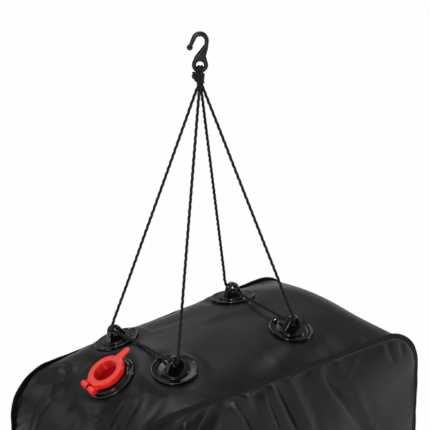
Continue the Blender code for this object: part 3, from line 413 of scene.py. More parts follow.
def laid_rope(name, route, start_turn=0.0):
    """A rope of three strands along a route, with its lay in a UV map and its crowns in an attribute."""
    path, length = smooth_path(route)
    profile = strand_profile()
    points, crowns = [], []
    side = None
    for i, middle in enumerate(path):
        ahead = (path[min(i + 1, len(path) - 1)] - path[max(i - 1, 0)]).normalized()
        if side is None:
            side = ahead.orthogonal().normalized()
        side = (side - ahead * side.dot(ahead)).normalized()
        other = ahead.cross(side)
        twist = start_turn + 2 * math.pi * i * length / (len(path) - 1) / LAY_LENGTH
        for turn, radius in profile:
            angle = turn + twist
            points.append(middle + (side * math.cos(angle) + other * math.sin(angle)) * radius)
            crowns.append((radius - GROOVE_RADIUS) / (STRAND_OFFSET + STRAND_RADIUS - GROOVE_RADIUS))
    faces = []
    for i in range(len(path) - 1):
        for k in range(ROPE_SIDES):
            n = (k + 1) % ROPE_SIDES
            a, b = i * ROPE_SIDES, (i + 1) * ROPE_SIDES
            faces.append((a + k, a + n, b + n, b + k))
    faces.append(tuple(reversed(range(ROPE_SIDES))))
    faces.append(tuple(range((len(path) - 1) * ROPE_SIDES, len(path) * ROPE_SIDES)))
    piece = new_piece(name, points, [], faces)
    piece.data.attributes.new("crown", "FLOAT", "POINT").data.foreach_set("value", crowns)
    lay = piece.data.uv_layers.new(name="lay")
    for loop in piece.data.loops:
        ring, k = divmod(loop.vertex_index, ROPE_SIDES)
        lay.data[loop.index].uv = (ring * ROPE_STEP, k * ROPE * math.pi / ROPE_SIDES)
    return piece, path, length


# %% [markdown]
# Each loop leaves the knot as two strands. One goes down to a rear lug, through its ear from outside,
# across the top of the bag to the front ear, and the other comes up from there. The places are those
# of the CAD model's route, so the rope lies where its solid does.

# %% The two rope loops
LEFT_ROUTE = (
    (-3.7, 2.6, -61.7), (-4.7, 3.2, -65), (-6.7, 4.6, -72), (-14.6, 10.1, -100), (-28.8, 19.9, -150),
    (-48.9, 33.7, -220), (-66.6, 45.9, -282), (-75, 51.8, -311), (-78.6, 54.4, -324),
    (-80, 54.5, -328.1), (-81.4, 51.7, -331.4), (-82.2, 47.3, -332.4), (-82.3, 40, -332.1),
    (-82.3, -4, -331.5), (-82.8, -48, -331.5), (-82.9, -54.7, -331.6), (-83.1, -58.6, -330.5),
    (-83.5, -61.3, -327.2), (-83.4, -61.9, -322.9), (-79.6, -59, -309.9), (-71.1, -52.7, -282),
    (-52.2, -38.6, -220), (-30.8, -22.8, -150), (-15.5, -11.5, -100), (-6.9, -5.1, -72),
    (-4.7, -3.5, -65), (-3.7, -2.7, -61.7),
)
RIGHT_ROUTE = (
    (3.7, 2.6, -61.7), (4.7, 3.2, -65), (6.8, 4.5, -72), (15, 9.9, -100), (29.7, 19.4, -150),
    (50.3, 32.8, -220), (68.5, 44.7, -282), (77, 50.3, -310.7), (80.8, 52.8, -323.7),
    (82.3, 52.4, -327.6), (83.6, 50.1, -330.5), (84.2, 46.3, -331.4), (84.4, 40, -331.6),
    (84.6, -4, -333.5), (84.6, -48, -336), (84.4, -54.3, -336.4), (83.9, -58.3, -335.4),
    (82.8, -61.1, -332.4), (81.3, -61.9, -328.2), (77.4, -59.1, -315.2), (67.8, -51.7, -282),
    (49.7, -37.9, -220), (29.3, -22.4, -150), (14.8, -11.4, -100), (6.6, -5.1, -72),
    (4.6, -3.5, -65), (3.7, -2.7, -61.7),
)

for name, route in (("rope_left_laid", LEFT_ROUTE), ("rope_right_laid", RIGHT_ROUTE)):
    places = [Vector(p) * MM for p in route]
    rope, path, length = laid_rope(name, places)
    settle(rope, "bag", rope_look, [name.replace("_laid", "")], angle=80)
    print(name, "is", round(length / MM, 1), "mm long")

# %% [markdown]
# The bag's fabric is PVC coated on both sides of a woven polyester scrim. The coating is matt black
# with a fine grain, the threads show through it as a faint grid, and it shines a little where it is
# stretched. Two waves that cross draw the threads. They follow the fabric's own UV map, which is in
# metres, so that the grid lies along the cloth on every side of the bag.

# %% Coated fabric finish
# Calendered PVC: dull black with a soft, broken sheen, and duller where it is welded. The weld
# margins also get a near-black colour, which is painted shade along the seam fins.
# Threads of this cloth stand about 1 mm apart; they are drawn at 2.2 mm, the least that still shows.
# The coating's grain is 0.9 mm, its clouds of tone are 45 mm, and dust lies on it in 6 mm patches.
THREAD_PITCH = 2.2 * MM
# A wave texture of scale 1 repeats at this distance.
WAVE_PERIOD = 2 * math.pi / 20
GRAIN_SCALE = 1100.0
CLOUD_SCALE = 22.0
DUST_SCALE = 160.0
DUST_SHARE = 0.3
WELD_DULLS = 0.3

fabric_look, tree, shader = new_finish("coated_scrim_fabric")
cloth_map = node(tree, "UVMap", uv_map="cloth")
threads = []
for direction in ("X", "Y"):
    wave = node(tree, "TexWave", {"Vector": cloth_map.outputs[0], "Scale": WAVE_PERIOD / THREAD_PITCH,
                                  "Distortion": 0.6, "Detail": 1.0, "Detail Scale": 2.0},
                wave_type="BANDS", bands_direction=direction)
    threads.append(wave.outputs["Fac"])
weave = node(tree, "Math", {0: threads[0], 1: threads[1]}, operation="MAXIMUM")
surface = node(tree, "TexCoord").outputs["Object"]
grain = node(tree, "TexNoise", {"Vector": surface, "Scale": GRAIN_SCALE, "Detail": 4.0})
clouds = node(tree, "TexNoise", {"Vector": surface, "Scale": CLOUD_SCALE, "Detail": 5.0,
                                 "Roughness": 0.6})
dust = node(tree, "TexNoise", {"Vector": surface, "Scale": DUST_SCALE, "Detail": 6.0, "Roughness": 0.7})
coating = node(tree, "ValToRGB", {"Fac": clouds.outputs["Fac"]}, [(0.3, "0c0c0d"), (0.7, "151517")])
dusted = node(tree, "ValToRGB", {"Fac": dust.outputs["Fac"]}, [(0.35, "0b0b0c"), (0.75, "1e1f21")])
tone = node(tree, "Mix", {0: DUST_SHARE, MIX_A: coating.outputs["Color"], MIX_B: dusted.outputs["Color"]},
            data_type="RGBA")
# Painted shade: the weld rows along the seam fins are mixed towards near black, and made duller.
weld = node(tree, "Attribute", attribute_name="weld")
painted_seam_shade = node(tree, "Mix", {0: weld.outputs["Fac"], MIX_A: tone.outputs[MIX_RESULT],
                             MIX_B: linear("040405")}, data_type="RGBA")
sheen = node(tree, "MapRange", {"Value": clouds.outputs["Fac"], "To Min": 0.36, "To Max": 0.48})
matt = node(tree, "Math", {0: weld.outputs["Fac"], 1: WELD_DULLS, 2: sheen.outputs["Result"]},
            operation="MULTIPLY_ADD")
weave_bump = node(tree, "Bump", {"Height": weave.outputs[0], "Strength": 0.12, "Distance": 0.4 * MM})
grain_bump = node(tree, "Bump", {"Height": grain.outputs["Fac"], "Strength": 0.25, "Distance": 0.3 * MM,
                                 "Normal": weave_bump.outputs[0]})
feed(shader, {"Base Color": painted_seam_shade.outputs[MIX_RESULT], "Roughness": matt.outputs[0],
              "Specular IOR Level": 0.24, "Normal": grain_bump.outputs[0]})
print(fabric_look.name, "has", len(tree.nodes), "nodes")

# %% [markdown]
# The body is a lofted shell that water has filled: a strip runs round between two flat panels, and it
# stands out most along its middle. Its outline is a rounded box that is swollen, with one corner
# pulled down for the filler. The full bag also leans and rolls a little on its ropes.

# %% Outlines of the full bag
BAG_LENGTH = 398 * MM
BAG_HEIGHT = 220 * MM
BAG_DEPTH = 216 * MM
BAG_CENTRE = Vector((18, -8, -476.4)) * MM
FABRIC_WALL = 0.8 * MM
SEAT_GAP = 0.3 * MM
FIN_WIDTH = 6 * MM
SEAM_RADIUS = 44 * MM
GUSSET_PUFF = 29 * MM
SEAM_LEAN = 7.5 * MM
CORNER_TWIST = 5.6 * MM
CROWN_TILT = 8 * MM
CROWN_ROLL = 8.5 * MM
PUFF_POWER = 0.7
PANEL_DOME = 13 * MM
SHOULDER_FRONT_RADIUS = 90 * MM
SHOULDER_BACK_RADIUS = 140 * MM
BOTTOM_RADIUS = 105 * MM
SLOPE_START = 119 * MM
SLOPE_DROP = SLOPE_START * math.tan(math.radians(36))
SLOPE_TOP_RADIUS = 100 * MM
SLOPE_END_RADIUS = 115 * MM
# How many points a row has round the bag, and how many steps the strip has across it.
AROUND = 560
ACROSS = 76


def rounded_loop(corners, steps=24):
    """A closed outline through (x, z, radius) corners, each rounded as far as its sides allow."""
    outline = []
    for i, (x, z, radius) in enumerate(corners):
        here = Vector((x, z))
        before = Vector(corners[i - 1][:2]) - here
        after = Vector(corners[(i + 1) % len(corners)][:2]) - here
        half = before.angle(after) / 2
        reach = min(radius / math.tan(half), before.length / 2, after.length / 2)
        centre = here + (before.normalized() + after.normalized()).normalized() * (
            reach * math.tan(half) / math.sin(half))
        first = here + before.normalized() * reach - centre
        last = here + after.normalized() * reach - centre
        sweep = first.angle_signed(last)
        for k in range(steps + 1):
            outline.append(centre + Matrix.Rotation(-sweep * k / steps, 2) @ first)
    return outline


def even_loop(outline, count):
    """The same closed outline as evenly spaced points, and its length."""
    ring = np.array([list(p) for p in outline] + [list(outline[0])])
    reach = np.concatenate([[0.0], np.cumsum(np.linalg.norm(np.diff(ring, axis=0), axis=1))])
    marks = np.arange(count) * reach[-1] / count
    return np.stack([np.interp(marks, reach, ring[:, i]) for i in range(2)], axis=1), reach[-1]


def seam_loop(grow):
    """The seam's outline, grown by the width of a margin, as even points, and its length."""
    half_x, half_z = BAG_LENGTH / 2 + grow, BAG_HEIGHT / 2 + grow
    corners = [(sx * half_x, sz * half_z, SEAM_RADIUS + grow)
               for sx, sz in ((1, 1), (-1, 1), (-1, -1), (1, -1))]
    return even_loop(rounded_loop(corners), AROUND)


def reach_at(outline, directions, count=4000):
    """Where rays from the middle meet an outline, by angle."""
    ring, _ = even_loop(outline, count)
    angles = np.arctan2(ring[:, 1], ring[:, 0])
    order = np.argsort(angles)
    angles, radii = angles[order], np.linalg.norm(ring, axis=1)[order]
    wanted = np.arctan2(directions[:, 1], directions[:, 0])
    reach = np.interp(wanted, angles, radii, period=2 * math.pi)
    return directions / np.linalg.norm(directions, axis=1)[:, None] * reach[:, None]


def puffed_loop(shoulder_radius):
    """The line that the strip is puffed out to, seen from the front."""
    half_x = BAG_LENGTH / 2 + GUSSET_PUFF
    half_z = BAG_HEIGHT / 2 + GUSSET_PUFF
    line = rounded_loop([(half_x, half_z, shoulder_radius),
                         (-half_x + SLOPE_START, half_z, SLOPE_TOP_RADIUS),
                         (-half_x, half_z - SLOPE_DROP, SLOPE_END_RADIUS),
                         (-half_x, -half_z, BOTTOM_RADIUS),
                         (half_x, -half_z, BOTTOM_RADIUS)])
    return reach_at(line, seam)


seam, seam_length = seam_loop(0.0)
along = np.arange(AROUND) * seam_length / AROUND
full_front = puffed_loop(SHOULDER_FRONT_RADIUS)
full_back = puffed_loop(SHOULDER_BACK_RADIUS)
print("seam", round(seam_length / MM), "mm round")

# %% [markdown]
# A soft bag isn't smooth. Folds run from the seams where the flat cloth had to bend two ways, and the
# cloth lies flat where a stiff moulding is welded to it. A simulation would put folds in places of its
# own, so both are drawn by moving the points of the cloth: a fold is a ridge with a valley beside it
# along a short line, and a seat pulls the cloth to a plane.

# %% Seats of the mouldings


def seat(origin, normal):
    """The frame of a moulding on the cloth, from its place and its normal."""
    z = Vector(normal).normalized()
    y = Vector((0.0, z.z, -z.y)).normalized()
    return Matrix.Translation(Vector(origin) * MM) @ Matrix((y.cross(z), y, z)).transposed().to_4x4()


LUG_SEATS = {
    "lug_rear_left": seat((-81.5, 44.8, -341.71), (-0.189, 0.246, 0.951)),
    "lug_front_left": seat((-81.5, -53.2, -340.95), (-0.169, -0.171, 0.971)),
    "lug_rear_right": seat((85.5, 44.8, -341.2), (0.025, 0.165, 0.986)),
    "lug_front_right": seat((85.5, -53.2, -345.88), (0.049, -0.172, 0.984)),
}
FILLER_SEAT = Matrix(((0.83209, 0.20185, -0.51661, -0.12732), (-0.17367, 0.97941, 0.10296, -0.00198),
                      (0.52675, 0.00405, 0.85001, -0.35525), (0, 0, 0, 1)))
OUTLET_SEAT = Matrix(((-1, 0, 0, 0.018), (0, 0.99997, -0.00727, -0.008), (0, -0.00727, -0.99997, -0.6165),
                      (0, 0, 0, 1)))
LUG_RADIUS = 25 * MM
FLANGE_RADIUS = 28.5 * MM
OUTLET_RADIUS = 22 * MM
# Each seat: its frame, the moulding's radius, how far the cloth's outer face lies over the origin.
FLAT_SEATS = [(lug_seat, LUG_RADIUS, -0.9 * MM) for lug_seat in LUG_SEATS.values()]
FLAT_SEATS += [(FILLER_SEAT, FLANGE_RADIUS, -1.6 * MM), (OUTLET_SEAT, OUTLET_RADIUS, -0.4 * MM)]
# How the cloth leaves a seat: its flat margin, the width over which it eases back to its own shape, the
# distance from the seat's plane past which it is left alone, and the width over which folds return.
SEAT_MARGIN = 1 * MM
SEAT_BLEND = 15 * MM
SEAT_REACH = 30 * MM
SEAT_CALM = 12 * MM


def smooth_share(value):
    """A share from 0 to 1 that starts and ends gently."""
    value = np.clip(value, 0.0, 1.0)
    return value * value * (3 - 2 * value)


def moved(points, matrix):
    """An array of points, turned and shifted by a matrix."""
    turn = np.array(matrix)
    return points @ turn[:3, :3].T + turn[:3, 3]


def lay_on_seats(grid):
    """Pull a grid of points flat under each moulding, and ease it back to its own shape around it."""
    points = grid.reshape(-1, 3)
    for place, radius, level in FLAT_SEATS:
        local = moved(points, place.inverted())
        spread = np.hypot(local[:, 0], local[:, 1])
        share = 1 - smooth_share((spread - radius - SEAT_MARGIN) / SEAT_BLEND)
        share[np.abs(local[:, 2]) > SEAT_REACH] = 0.0
        local[:, 2] += share * (level - FABRIC_WALL - local[:, 2])
        points = moved(local, place)
    return points.reshape(grid.shape)


def seat_calm(grid):
    """1 on free cloth and 0 on a seat, so that no fold runs under a moulding."""
    points = grid.reshape(-1, 3)
    calm = np.ones(len(points))
    for place, radius, _ in FLAT_SEATS:
        spread = np.linalg.norm(moved(points, place.inverted()), axis=1)
        calm = np.minimum(calm, smooth_share((spread - radius) / SEAT_CALM))
    return calm.reshape(grid.shape[:2])


print(len(FLAT_SEATS), "seats on the cloth")

# %% Folds
# A fold: the points it runs through (mm), its half width and its height (mm); below 0 it is a valley.
FOLDS = [
    (((-145, 87, -373), (-136, 69, -365), (-125, 54, -360)), 2.5, 1.0),
    (((-136, 68, -365), (-143, 56, -368), (-154, 53, -375), (-165, 49, -384)), 4.5, -2.6),
    (((-135, 54, -363), (-147, 47, -370), (-159, 45, -379)), 4.0, 1.2),
    (((-159, 61, -379), (-169, 61, -388), (-180, 60, -402), (-188, 60, -419), (-193, 64, -438)), 2.2, -1.5),
    (((-161, 43, -381), (-173, 44, -392), (-182, 48, -403)), 3.0, -1.3),
    (((-150, 22, -372), (-160, 15, -380), (-173, 13, -391)), 2.6, -1.9),
    (((-151, 15, -373), (-158, 8, -379), (-167, 4, -386)), 2.4, -1.6),
    (((-151, 4, -373), (-160, -2, -380), (-169, -8, -388)), 3.0, -1.9),
    (((-148, -8, -372), (-161, -12, -381), (-173, -14, -391), (-184, -18, -403)), 3.0, -1.5),
    (((-141, -20, -366), (-155, -27, -376), (-170, -36, -389), (-182, -44, -401)), 1.8, 1.4),
    (((-135, -17, -362), (-147, -24, -371), (-166, -37, -384), (-180, -49, -399)), 2.2, -1.3),
    (((-123, -19, -354), (-138, -30, -364), (-155, -39, -376), (-175, -51, -393)), 8.0, -2.4),
    (((-122, -37, -355), (-142, -48, -367), (-163, -55, -381), (-177, -60, -395)), 7.0, 2.6),
    (((-114, -34, -350), (-122, -42, -355), (-131, -49, -361)), 3.0, -2.0),
    (((-112, -50, -350), (-136, -67, -362), (-162, -78, -377)), 10.0, 2.0),
    (((-116, -68, -354), (-139, -83, -363), (-166, -99, -374)), 9.0, -1.6),
    (((-177, 93, -402), (-181, 96, -412)), 2.6, -1.4),
    (((-183, 69, -410), (-184, 94, -431)), 2.4, -1.2),
    (((-169, -2, -388), (-178, -4, -396), (-186, -8, -407)), 2.6, -1.3),
    (((-111, 55, -354), (-125, 55, -360)), 2.2, -0.9),
    (((-91, 17, -341), (-84, 12, -338), (-79, -2, -335)), 3.0, 0.9),
    (((-73, 13, -335), (-42, 16, -335), (-8, 15, -336), (34, 13, -337), (72, 10, -339)), 9.0, 1.6),
    (((-117, -19, -351), (-107, -27, -346), (-96, -30, -343)), 2.6, 0.8),
    (((-174, 54, -394), (-183, 55, -407), (-189, 54, -422)), 4.0, 1.0),
    (((-166, 92, -387), (-157, 85, -379), (-153, 69, -374)), 6.0, -1.2),
    (((74, -80, -351), (35, -96, -353), (2, -108, -355)), 12.0, 1.5),
    (((9, -119, -362), (16, -123, -378), (27, -126, -404), (40, -129, -434)), 5.0, -4.2),
    (((-60, -119, -360), (-51, -119, -362), (-40, -123, -378), (-30, -126, -401), (-22, -128, -422)),
     4.6, -3.8),
    (((-85, -120, -364), (-89, -122, -371), (-101, -124, -379), (-112, -124, -390)), 4.2, -2.8),
    (((-107, -120, -364), (-118, -122, -372), (-126, -123, -380)), 3.5, -2.4),
    (((-13, -118, -360), (-27, -121, -367), (-26, -124, -387), (-20, -127, -411)), 6.0, -2.0),
    (((-9, -120, -364), (-5, -123, -379), (3, -126, -400), (11, -128, -427)), 2.8, -1.8),
    (((81, -120, -369), (89, -124, -389), (106, -127, -411), (118, -127, -432), (135, -126, -461)),
     5.5, -4.0),
    (((37, -119, -365), (47, -124, -386), (56, -127, -412), (62, -129, -444)), 6.0, -1.4),
    (((55, -120, -369), (70, -124, -390), (84, -127, -413), (96, -128, -444)), 6.5, 1.5),
    (((171, -118, -364), (172, -120, -374), (178, -122, -387)), 3.0, -1.2),
    (((191, -117, -369), (195, -120, -385)), 3.0, -0.9),
    (((121, -126, -407), (136, -126, -431), (149, -125, -461)), 7.0, -1.0),
    (((154, -125, -459), (172, -124, -485)), 8.0, -0.8),
    (((-132, -120, -362), (-121, -120, -361), (-117, -122, -370)), 3.0, -1.6),
]
# A sag is broad and has no ridges beside it: here the crown sinks behind the rear lugs.
SAGS = [
    (((-75, 84, -347), (-20, 88, -350), (45, 88, -353)), 24.0, -5.0),
]
print(len(FOLDS), "folds and", len(SAGS), "sag")

# %% What lifts the cloth
# Beside a fold the cloth dips: how deep, how far off and how wide, as shares of its height and width.
DIP_DEPTH = 0.35
DIP_PLACE = 1.7
DIP_WIDTH = 0.8
# Along its line a fold swells and fades like a half wave whose ends are cut off.
WAVE_CUT = 0.1
WAVE_POWER = 0.7
PLEAT_REACH = 42 * MM
PLEAT_START = 3 * MM
LUMP_WAVES = 7


def fold_heights(grid, folds, dip_depth=DIP_DEPTH):
    """How far each point of a grid rises over the smooth shell for all folds together."""
    points = grid.reshape(-1, 3)
    rise = np.zeros(len(points))
    for line, width, height in folds:
        line = np.array(line) * MM
        spans = np.linalg.norm(np.diff(line, axis=0), axis=1)
        starts = np.concatenate([[0.0], np.cumsum(spans)])
        nearest = np.full(len(points), np.inf)
        share = np.zeros(len(points))
        for i, span in enumerate(spans):
            leg = line[i + 1] - line[i]
            t = np.clip((points - line[i]) @ leg / span ** 2, 0.0, 1.0)
            away = np.linalg.norm(points - (line[i] + t[:, None] * leg), axis=1)
            closer = away < nearest
            nearest[closer] = away[closer]
            share[closer] = ((starts[i] + t * span) / starts[-1])[closer]
        gap = nearest / (width * MM)
        taper = np.sin(math.pi * (WAVE_CUT + (1 - 2 * WAVE_CUT) * share)) ** WAVE_POWER
        dip = np.exp(-((gap - DIP_PLACE) / DIP_WIDTH) ** 2)
        rise += height * MM * taper * (np.exp(-gap ** 2) - dip_depth * dip)
    return rise.reshape(grid.shape[:2])


def seam_pleats(away, seed):
    """Short pleats that start at a seam; away is each point's distance from it, in rows along it."""
    draw = random.Random(seed)
    rise = np.zeros(away.shape)
    mark = 0.0
    while mark < seam_length:
        width = draw.uniform(3.5, 8.5) * MM
        height = draw.uniform(-0.7, 0.8) * MM
        reach = PLEAT_REACH * draw.uniform(0.4, 1.5)
        slant = draw.uniform(-0.25, 0.25)
        gap = along - mark - slant * away
        gap = (gap + seam_length / 2) % seam_length - seam_length / 2
        fade = np.exp(-((away / reach) ** 2)) * smooth_share(away / PLEAT_START)
        rise += height * fade * np.exp(-(gap / width) ** 2)
        mark += draw.uniform(7.0, 19.0) * MM
    return rise


def soft_lumps(grid, seed, size, height):
    """Broad, shallow unevenness from a few crossing waves."""
    draw = random.Random(seed)
    points = grid.reshape(-1, 3)
    rise = np.zeros(len(points))
    for _ in range(LUMP_WAVES):
        heading = np.array([draw.gauss(0, 1) for _ in range(3)])
        heading /= np.linalg.norm(heading)
        rise += np.sin(points @ heading * 2 * math.pi / (size * draw.uniform(0.6, 1.6))
                       + draw.uniform(0, 2 * math.pi))
    return (rise * height / 3).reshape(grid.shape[:2])


def point_normals(grid):
    """Outward normals of a closed strip of points, from the differences between neighbours."""
    around = np.roll(grid, -1, axis=1) - np.roll(grid, 1, axis=1)
    across = np.gradient(grid, axis=0)
    normal = np.cross(around, across)
    normal /= np.maximum(np.linalg.norm(normal, axis=2), 1e-12)[:, :, None]
    outward = np.sum(normal * (grid - np.array(BAG_CENTRE))) > 0
    return normal if outward else -normal


# %% [markdown]
# The strip and the panels are grids of points. Each row goes once round the bag, and the rows run
# across the cloth from a welded edge. The first two rows are the weld margin, which makes a thin fin
# with its neighbour's margin, and the third is the seam. The folds lift the points along their normals,
# and a Solidify modifier gives the cloth its thickness at the end.

# %% Rows of points round the bag
SEAM_ROW = 2
# The fin isn't quite flat: the height, length and shift of its two waves.
FIN_WAVES = ((0.35 * MM, 58 * MM, 1.0), (0.2 * MM, 23 * MM, 2.3))


def bag_place(flat, y, lean, crown):
    """A section's points in the bag, with its lean, its twist and its rolled crown."""
    x_share = flat[:, 0] / (BAG_LENGTH / 2)
    y_share = (y - BAG_CENTRE.y) / (BAG_DEPTH / 2)
    top_share = np.clip(flat[:, 1] / (BAG_HEIGHT / 2), 0.0, 1.0)
    rise = SEAM_LEAN * lean + CORNER_TWIST * x_share * y_share
    rise = rise + crown * top_share * (CROWN_TILT * y_share - CROWN_ROLL * x_share)
    return np.stack([BAG_CENTRE.x + flat[:, 0], np.full(len(flat), y),
                     BAG_CENTRE.z + flat[:, 1] + rise], axis=1)


def fin_rows(y, lean):
    """The rows of a weld margin from its edge inwards; lean is 1 at the front and -1 at the back."""
    wave = sum(height * np.sin(along / length * 2 * math.pi + shift * lean)
               for height, length, shift in FIN_WAVES)
    rows = []
    for grow in (FIN_WIDTH, FIN_WIDTH / 2):
        row = bag_place(seam_loop(grow)[0], y, lean, 0.0)
        row[:, 1] += wave * grow / FIN_WIDTH
        rows.append(row)
    return rows


def strip_grid():
    """Rows of points from the front margin's edge to the back margin's edge."""
    front_y, back_y = BAG_CENTRE.y - BAG_DEPTH / 2, BAG_CENTRE.y + BAG_DEPTH / 2
    rows = fin_rows(front_y + SEAT_GAP / 2, 1)
    for k in range(ACROSS + 1):
        across = -math.cos(math.pi * k / ACROSS)
        puff = (1 - across ** 2) ** PUFF_POWER if 0 < k < ACROSS else 0.0
        y = BAG_CENTRE.y + across * BAG_DEPTH / 2 - across * SEAT_GAP / 2
        full = full_front + (full_back - full_front) * (1 + across) / 2
        rows.append(bag_place(seam + (full - seam) * puff, y, -across * (1 - puff), puff))
    return np.array(rows + fin_rows(back_y - SEAT_GAP / 2, -1)[::-1])


def cloth_run(grid):
    """Distance across the cloth, row by row, from its first row."""
    steps = np.linalg.norm(np.diff(grid, axis=0), axis=2)
    return np.concatenate([np.zeros((1, grid.shape[1])), np.cumsum(steps, axis=0)])


# %% From rows of points to cloth


def shell_piece(name, grid, across, welded_rows):
    """A mesh from a grid of points that closes round, with its cloth map in metres and its weld marked."""
    count = grid.shape[1]
    faces = [(r * count + i, r * count + (i + 1) % count, (r + 1) * count + (i + 1) % count,
              (r + 1) * count + i) for r in range(grid.shape[0] - 1) for i in range(count)]
    piece = new_piece(name, grid.reshape(-1, 3).tolist(), [], faces)
    # The weld rows are marked for the finish, which paints shade on them and dulls them.
    weld = np.zeros(grid.shape[:2])
    weld[welded_rows] = 1.0
    piece.data.attributes.new("weld", "FLOAT", "POINT").data.foreach_set("value", weld.ravel())
    cloth = piece.data.uv_layers.new(name="cloth")
    uv = np.zeros((len(faces), 4, 2))
    rows = np.repeat(np.arange(grid.shape[0] - 1), count)
    cols = np.tile(np.arange(count), grid.shape[0] - 1)
    for corner, (dr, dc) in enumerate(((0, 0), (0, 1), (1, 1), (1, 0))):
        uv[:, corner, 0] = (cols + dc) * (seam_length / AROUND)
        uv[:, corner, 1] = across[rows + dr, (cols + dc) % count]
    cloth.data.foreach_set("uv", uv.ravel())
    return piece


def thicken(piece):
    """Give the cloth its wall, outwards from the drawn inner face."""
    select_only(piece)
    wall = piece.modifiers.new("wall", "SOLIDIFY")
    wall.thickness = FABRIC_WALL
    wall.offset = 1.0
    bpy.ops.object.modifier_apply(modifier=wall.name)


# %% The strip round the bag
SEAM_CALM = 6 * MM
STRIP_WELD_ROWS = 6

grid = strip_grid()
run = cloth_run(grid)
from_front = np.maximum(run - run[SEAM_ROW], 0.0)
from_back = np.maximum(run[-1 - SEAM_ROW] - run, 0.0)
rise = seam_pleats(from_front, seed=11) + seam_pleats(from_back, seed=12)
rise += soft_lumps(grid, seed=5, size=90 * MM, height=1.1 * MM)
rise += fold_heights(grid, FOLDS) + fold_heights(grid, SAGS, dip_depth=0.0)
rise = rise * seat_calm(grid) * smooth_share(np.minimum(from_front, from_back) / SEAM_CALM)
body_rows = lay_on_seats(grid + point_normals(grid) * rise[:, :, None])
strip = shell_piece("fabric_strip", body_rows, run, [*range(STRIP_WELD_ROWS), *range(-STRIP_WELD_ROWS, 0)])
strip.data.flip_normals()
print("strip", len(strip.data.polygons), "faces,", round(float(run[-1].mean()) / MM), "mm across")

# %% Holes in the strip for the filler and the outlet
FILLER_HOLE = 32 * MM
OUTLET_HOLE = 14 * MM
HOLE_DEPTH = 9 * MM

mesh = bmesh.new()
mesh.from_mesh(strip.data)
for to_seat, bore in ((FILLER_SEAT.inverted(), FILLER_HOLE), (OUTLET_SEAT.inverted(), OUTLET_HOLE)):
    inside = [v for v in mesh.verts
              if (to_seat @ v.co).xy.length < bore / 2 and abs((to_seat @ v.co).z) < HOLE_DEPTH]
    bmesh.ops.delete(mesh, geom=inside, context="VERTS")
mesh.to_mesh(strip.data)
mesh.free()
thicken(strip)
settle(strip, "bag", fabric_look, ["gusset"], angle=50)

# %% [markdown]
# The front and back panels are cut alike. Each has a flat weld margin that makes the fin together with
# the strip's margin, and a middle that the water pushes out. Its rings of points shrink towards the
# middle, closer together near the seam, and the last small ring is closed with one face. The folds that
# cross the seam go on in the panel, a little broader.

# %% Front and back panels
PANEL_RINGS = 80
RING_POWER = 0.8
CENTRE_SHARE = 0.004
CENTRE_CALM = 14 * MM
FRONT_PLEATS = 0.35
PANEL_FOLD_WIDTH = 1.3
PANEL_FOLD_DEPTH = 1.6
PANEL_DIP = 0.2
PANEL_WELD_ROWS = 3


def panel_piece(name, side):
    """One panel and its weld margin; side is -1 at the front and 1 at the back."""
    y_seam = BAG_CENTRE.y + side * (BAG_DEPTH / 2 + SEAT_GAP / 2)
    rows = fin_rows(y_seam, -side)
    for k in range(PANEL_RINGS + 1):
        share = max(math.cos(math.pi / 2 * (k / PANEL_RINGS) ** RING_POWER), CENTRE_SHARE)
        dome = side * PANEL_DOME * (1 - share ** 2) ** PUFF_POWER if k else 0.0
        rows.append(bag_place(seam * share, y_seam + dome, -side, 0.0))
    grid = np.array(rows)
    run = cloth_run(grid)
    away = np.maximum(run - run[SEAM_ROW], 0.0)
    folds = [(line, width * PANEL_FOLD_WIDTH, height * PANEL_FOLD_DEPTH) for line, width, height in FOLDS]
    rise = seam_pleats(away, seed=21 + side) * (FRONT_PLEATS if side < 0 else 1.0)
    rise += soft_lumps(grid, seed=8 + side, size=110 * MM, height=1.2 * MM)
    rise += fold_heights(grid, folds, PANEL_DIP)
    from_centre = np.linalg.norm(grid - grid[-1].mean(axis=0), axis=2)
    rise = rise * smooth_share(away / SEAM_CALM)
    grid[:, :, 1] += side * (rise * smooth_share(from_centre / CENTRE_CALM))
    piece = shell_piece(name, grid, run, list(range(PANEL_WELD_ROWS)))
    cloth = piece.data.uv_layers["cloth"]
    for loop in piece.data.loops:
        co = piece.data.vertices[loop.vertex_index].co
        cloth.data[loop.index].uv = (co.x, co.z)
    mesh = bmesh.new()
    mesh.from_mesh(piece.data)
    mesh.verts.ensure_lookup_table()
    mesh.faces.new([mesh.verts[(len(rows) - 1) * AROUND + i] for i in range(AROUND)])
    bmesh.ops.recalc_face_normals(mesh, faces=mesh.faces)
    if sum(f.normal.y * f.calc_area() for f in mesh.faces) * side < 0:
        bmesh.ops.reverse_faces(mesh, faces=mesh.faces)
    mesh.to_mesh(piece.data)
    mesh.free()
    thicken(piece)
    return piece


cut = seam_loop(FIN_WIDTH)[0]
for name, side, cad_node in (("fabric_front", -1, "front_panel"), ("fabric_back", 1, "back_panel")):
    panel = panel_piece(name, side)
    settle(panel, "bag", fabric_look, [cad_node], angle=50)

# %% [markdown]
# The lugs are injection-moulded PVC, welded to the cloth by their thin discs. Everything on a disc is
# round, so a half profile is spun, and the flat ear is a plate that is fused to it. The four are alike:
# one is modelled, and each seat gets a copy. The mould leaves a glossy skin, with a bright rounded rim
# and a groove round the boss that the ear stands on.

# %% Moulded finishes
# Plastic that flowed into a polished mould: nearly one tone, with a gloss that drifts in wide clouds.


def moulded_finish(name, scale, detail, tones, roughness):
    """A moulded finish whose tone and roughness drift between two values each."""
    look, tree, shader = new_finish(name)
    surface = node(tree, "TexCoord")
    flow = node(tree, "TexNoise", {"Vector": surface.outputs["Object"], "Scale": scale, "Detail": detail})
    tint = node(tree, "ValToRGB", {"Fac": flow.outputs["Fac"]}, [(0.3, tones[0]), (0.7, tones[1])])
    gloss = node(tree, "MapRange", {"Value": flow.outputs["Fac"], "To Min": roughness[0],
                                    "To Max": roughness[1]})
    feed(shader, {"Base Color": tint.outputs["Color"], "Roughness": gloss.outputs["Result"]})
    return look, tree, shader


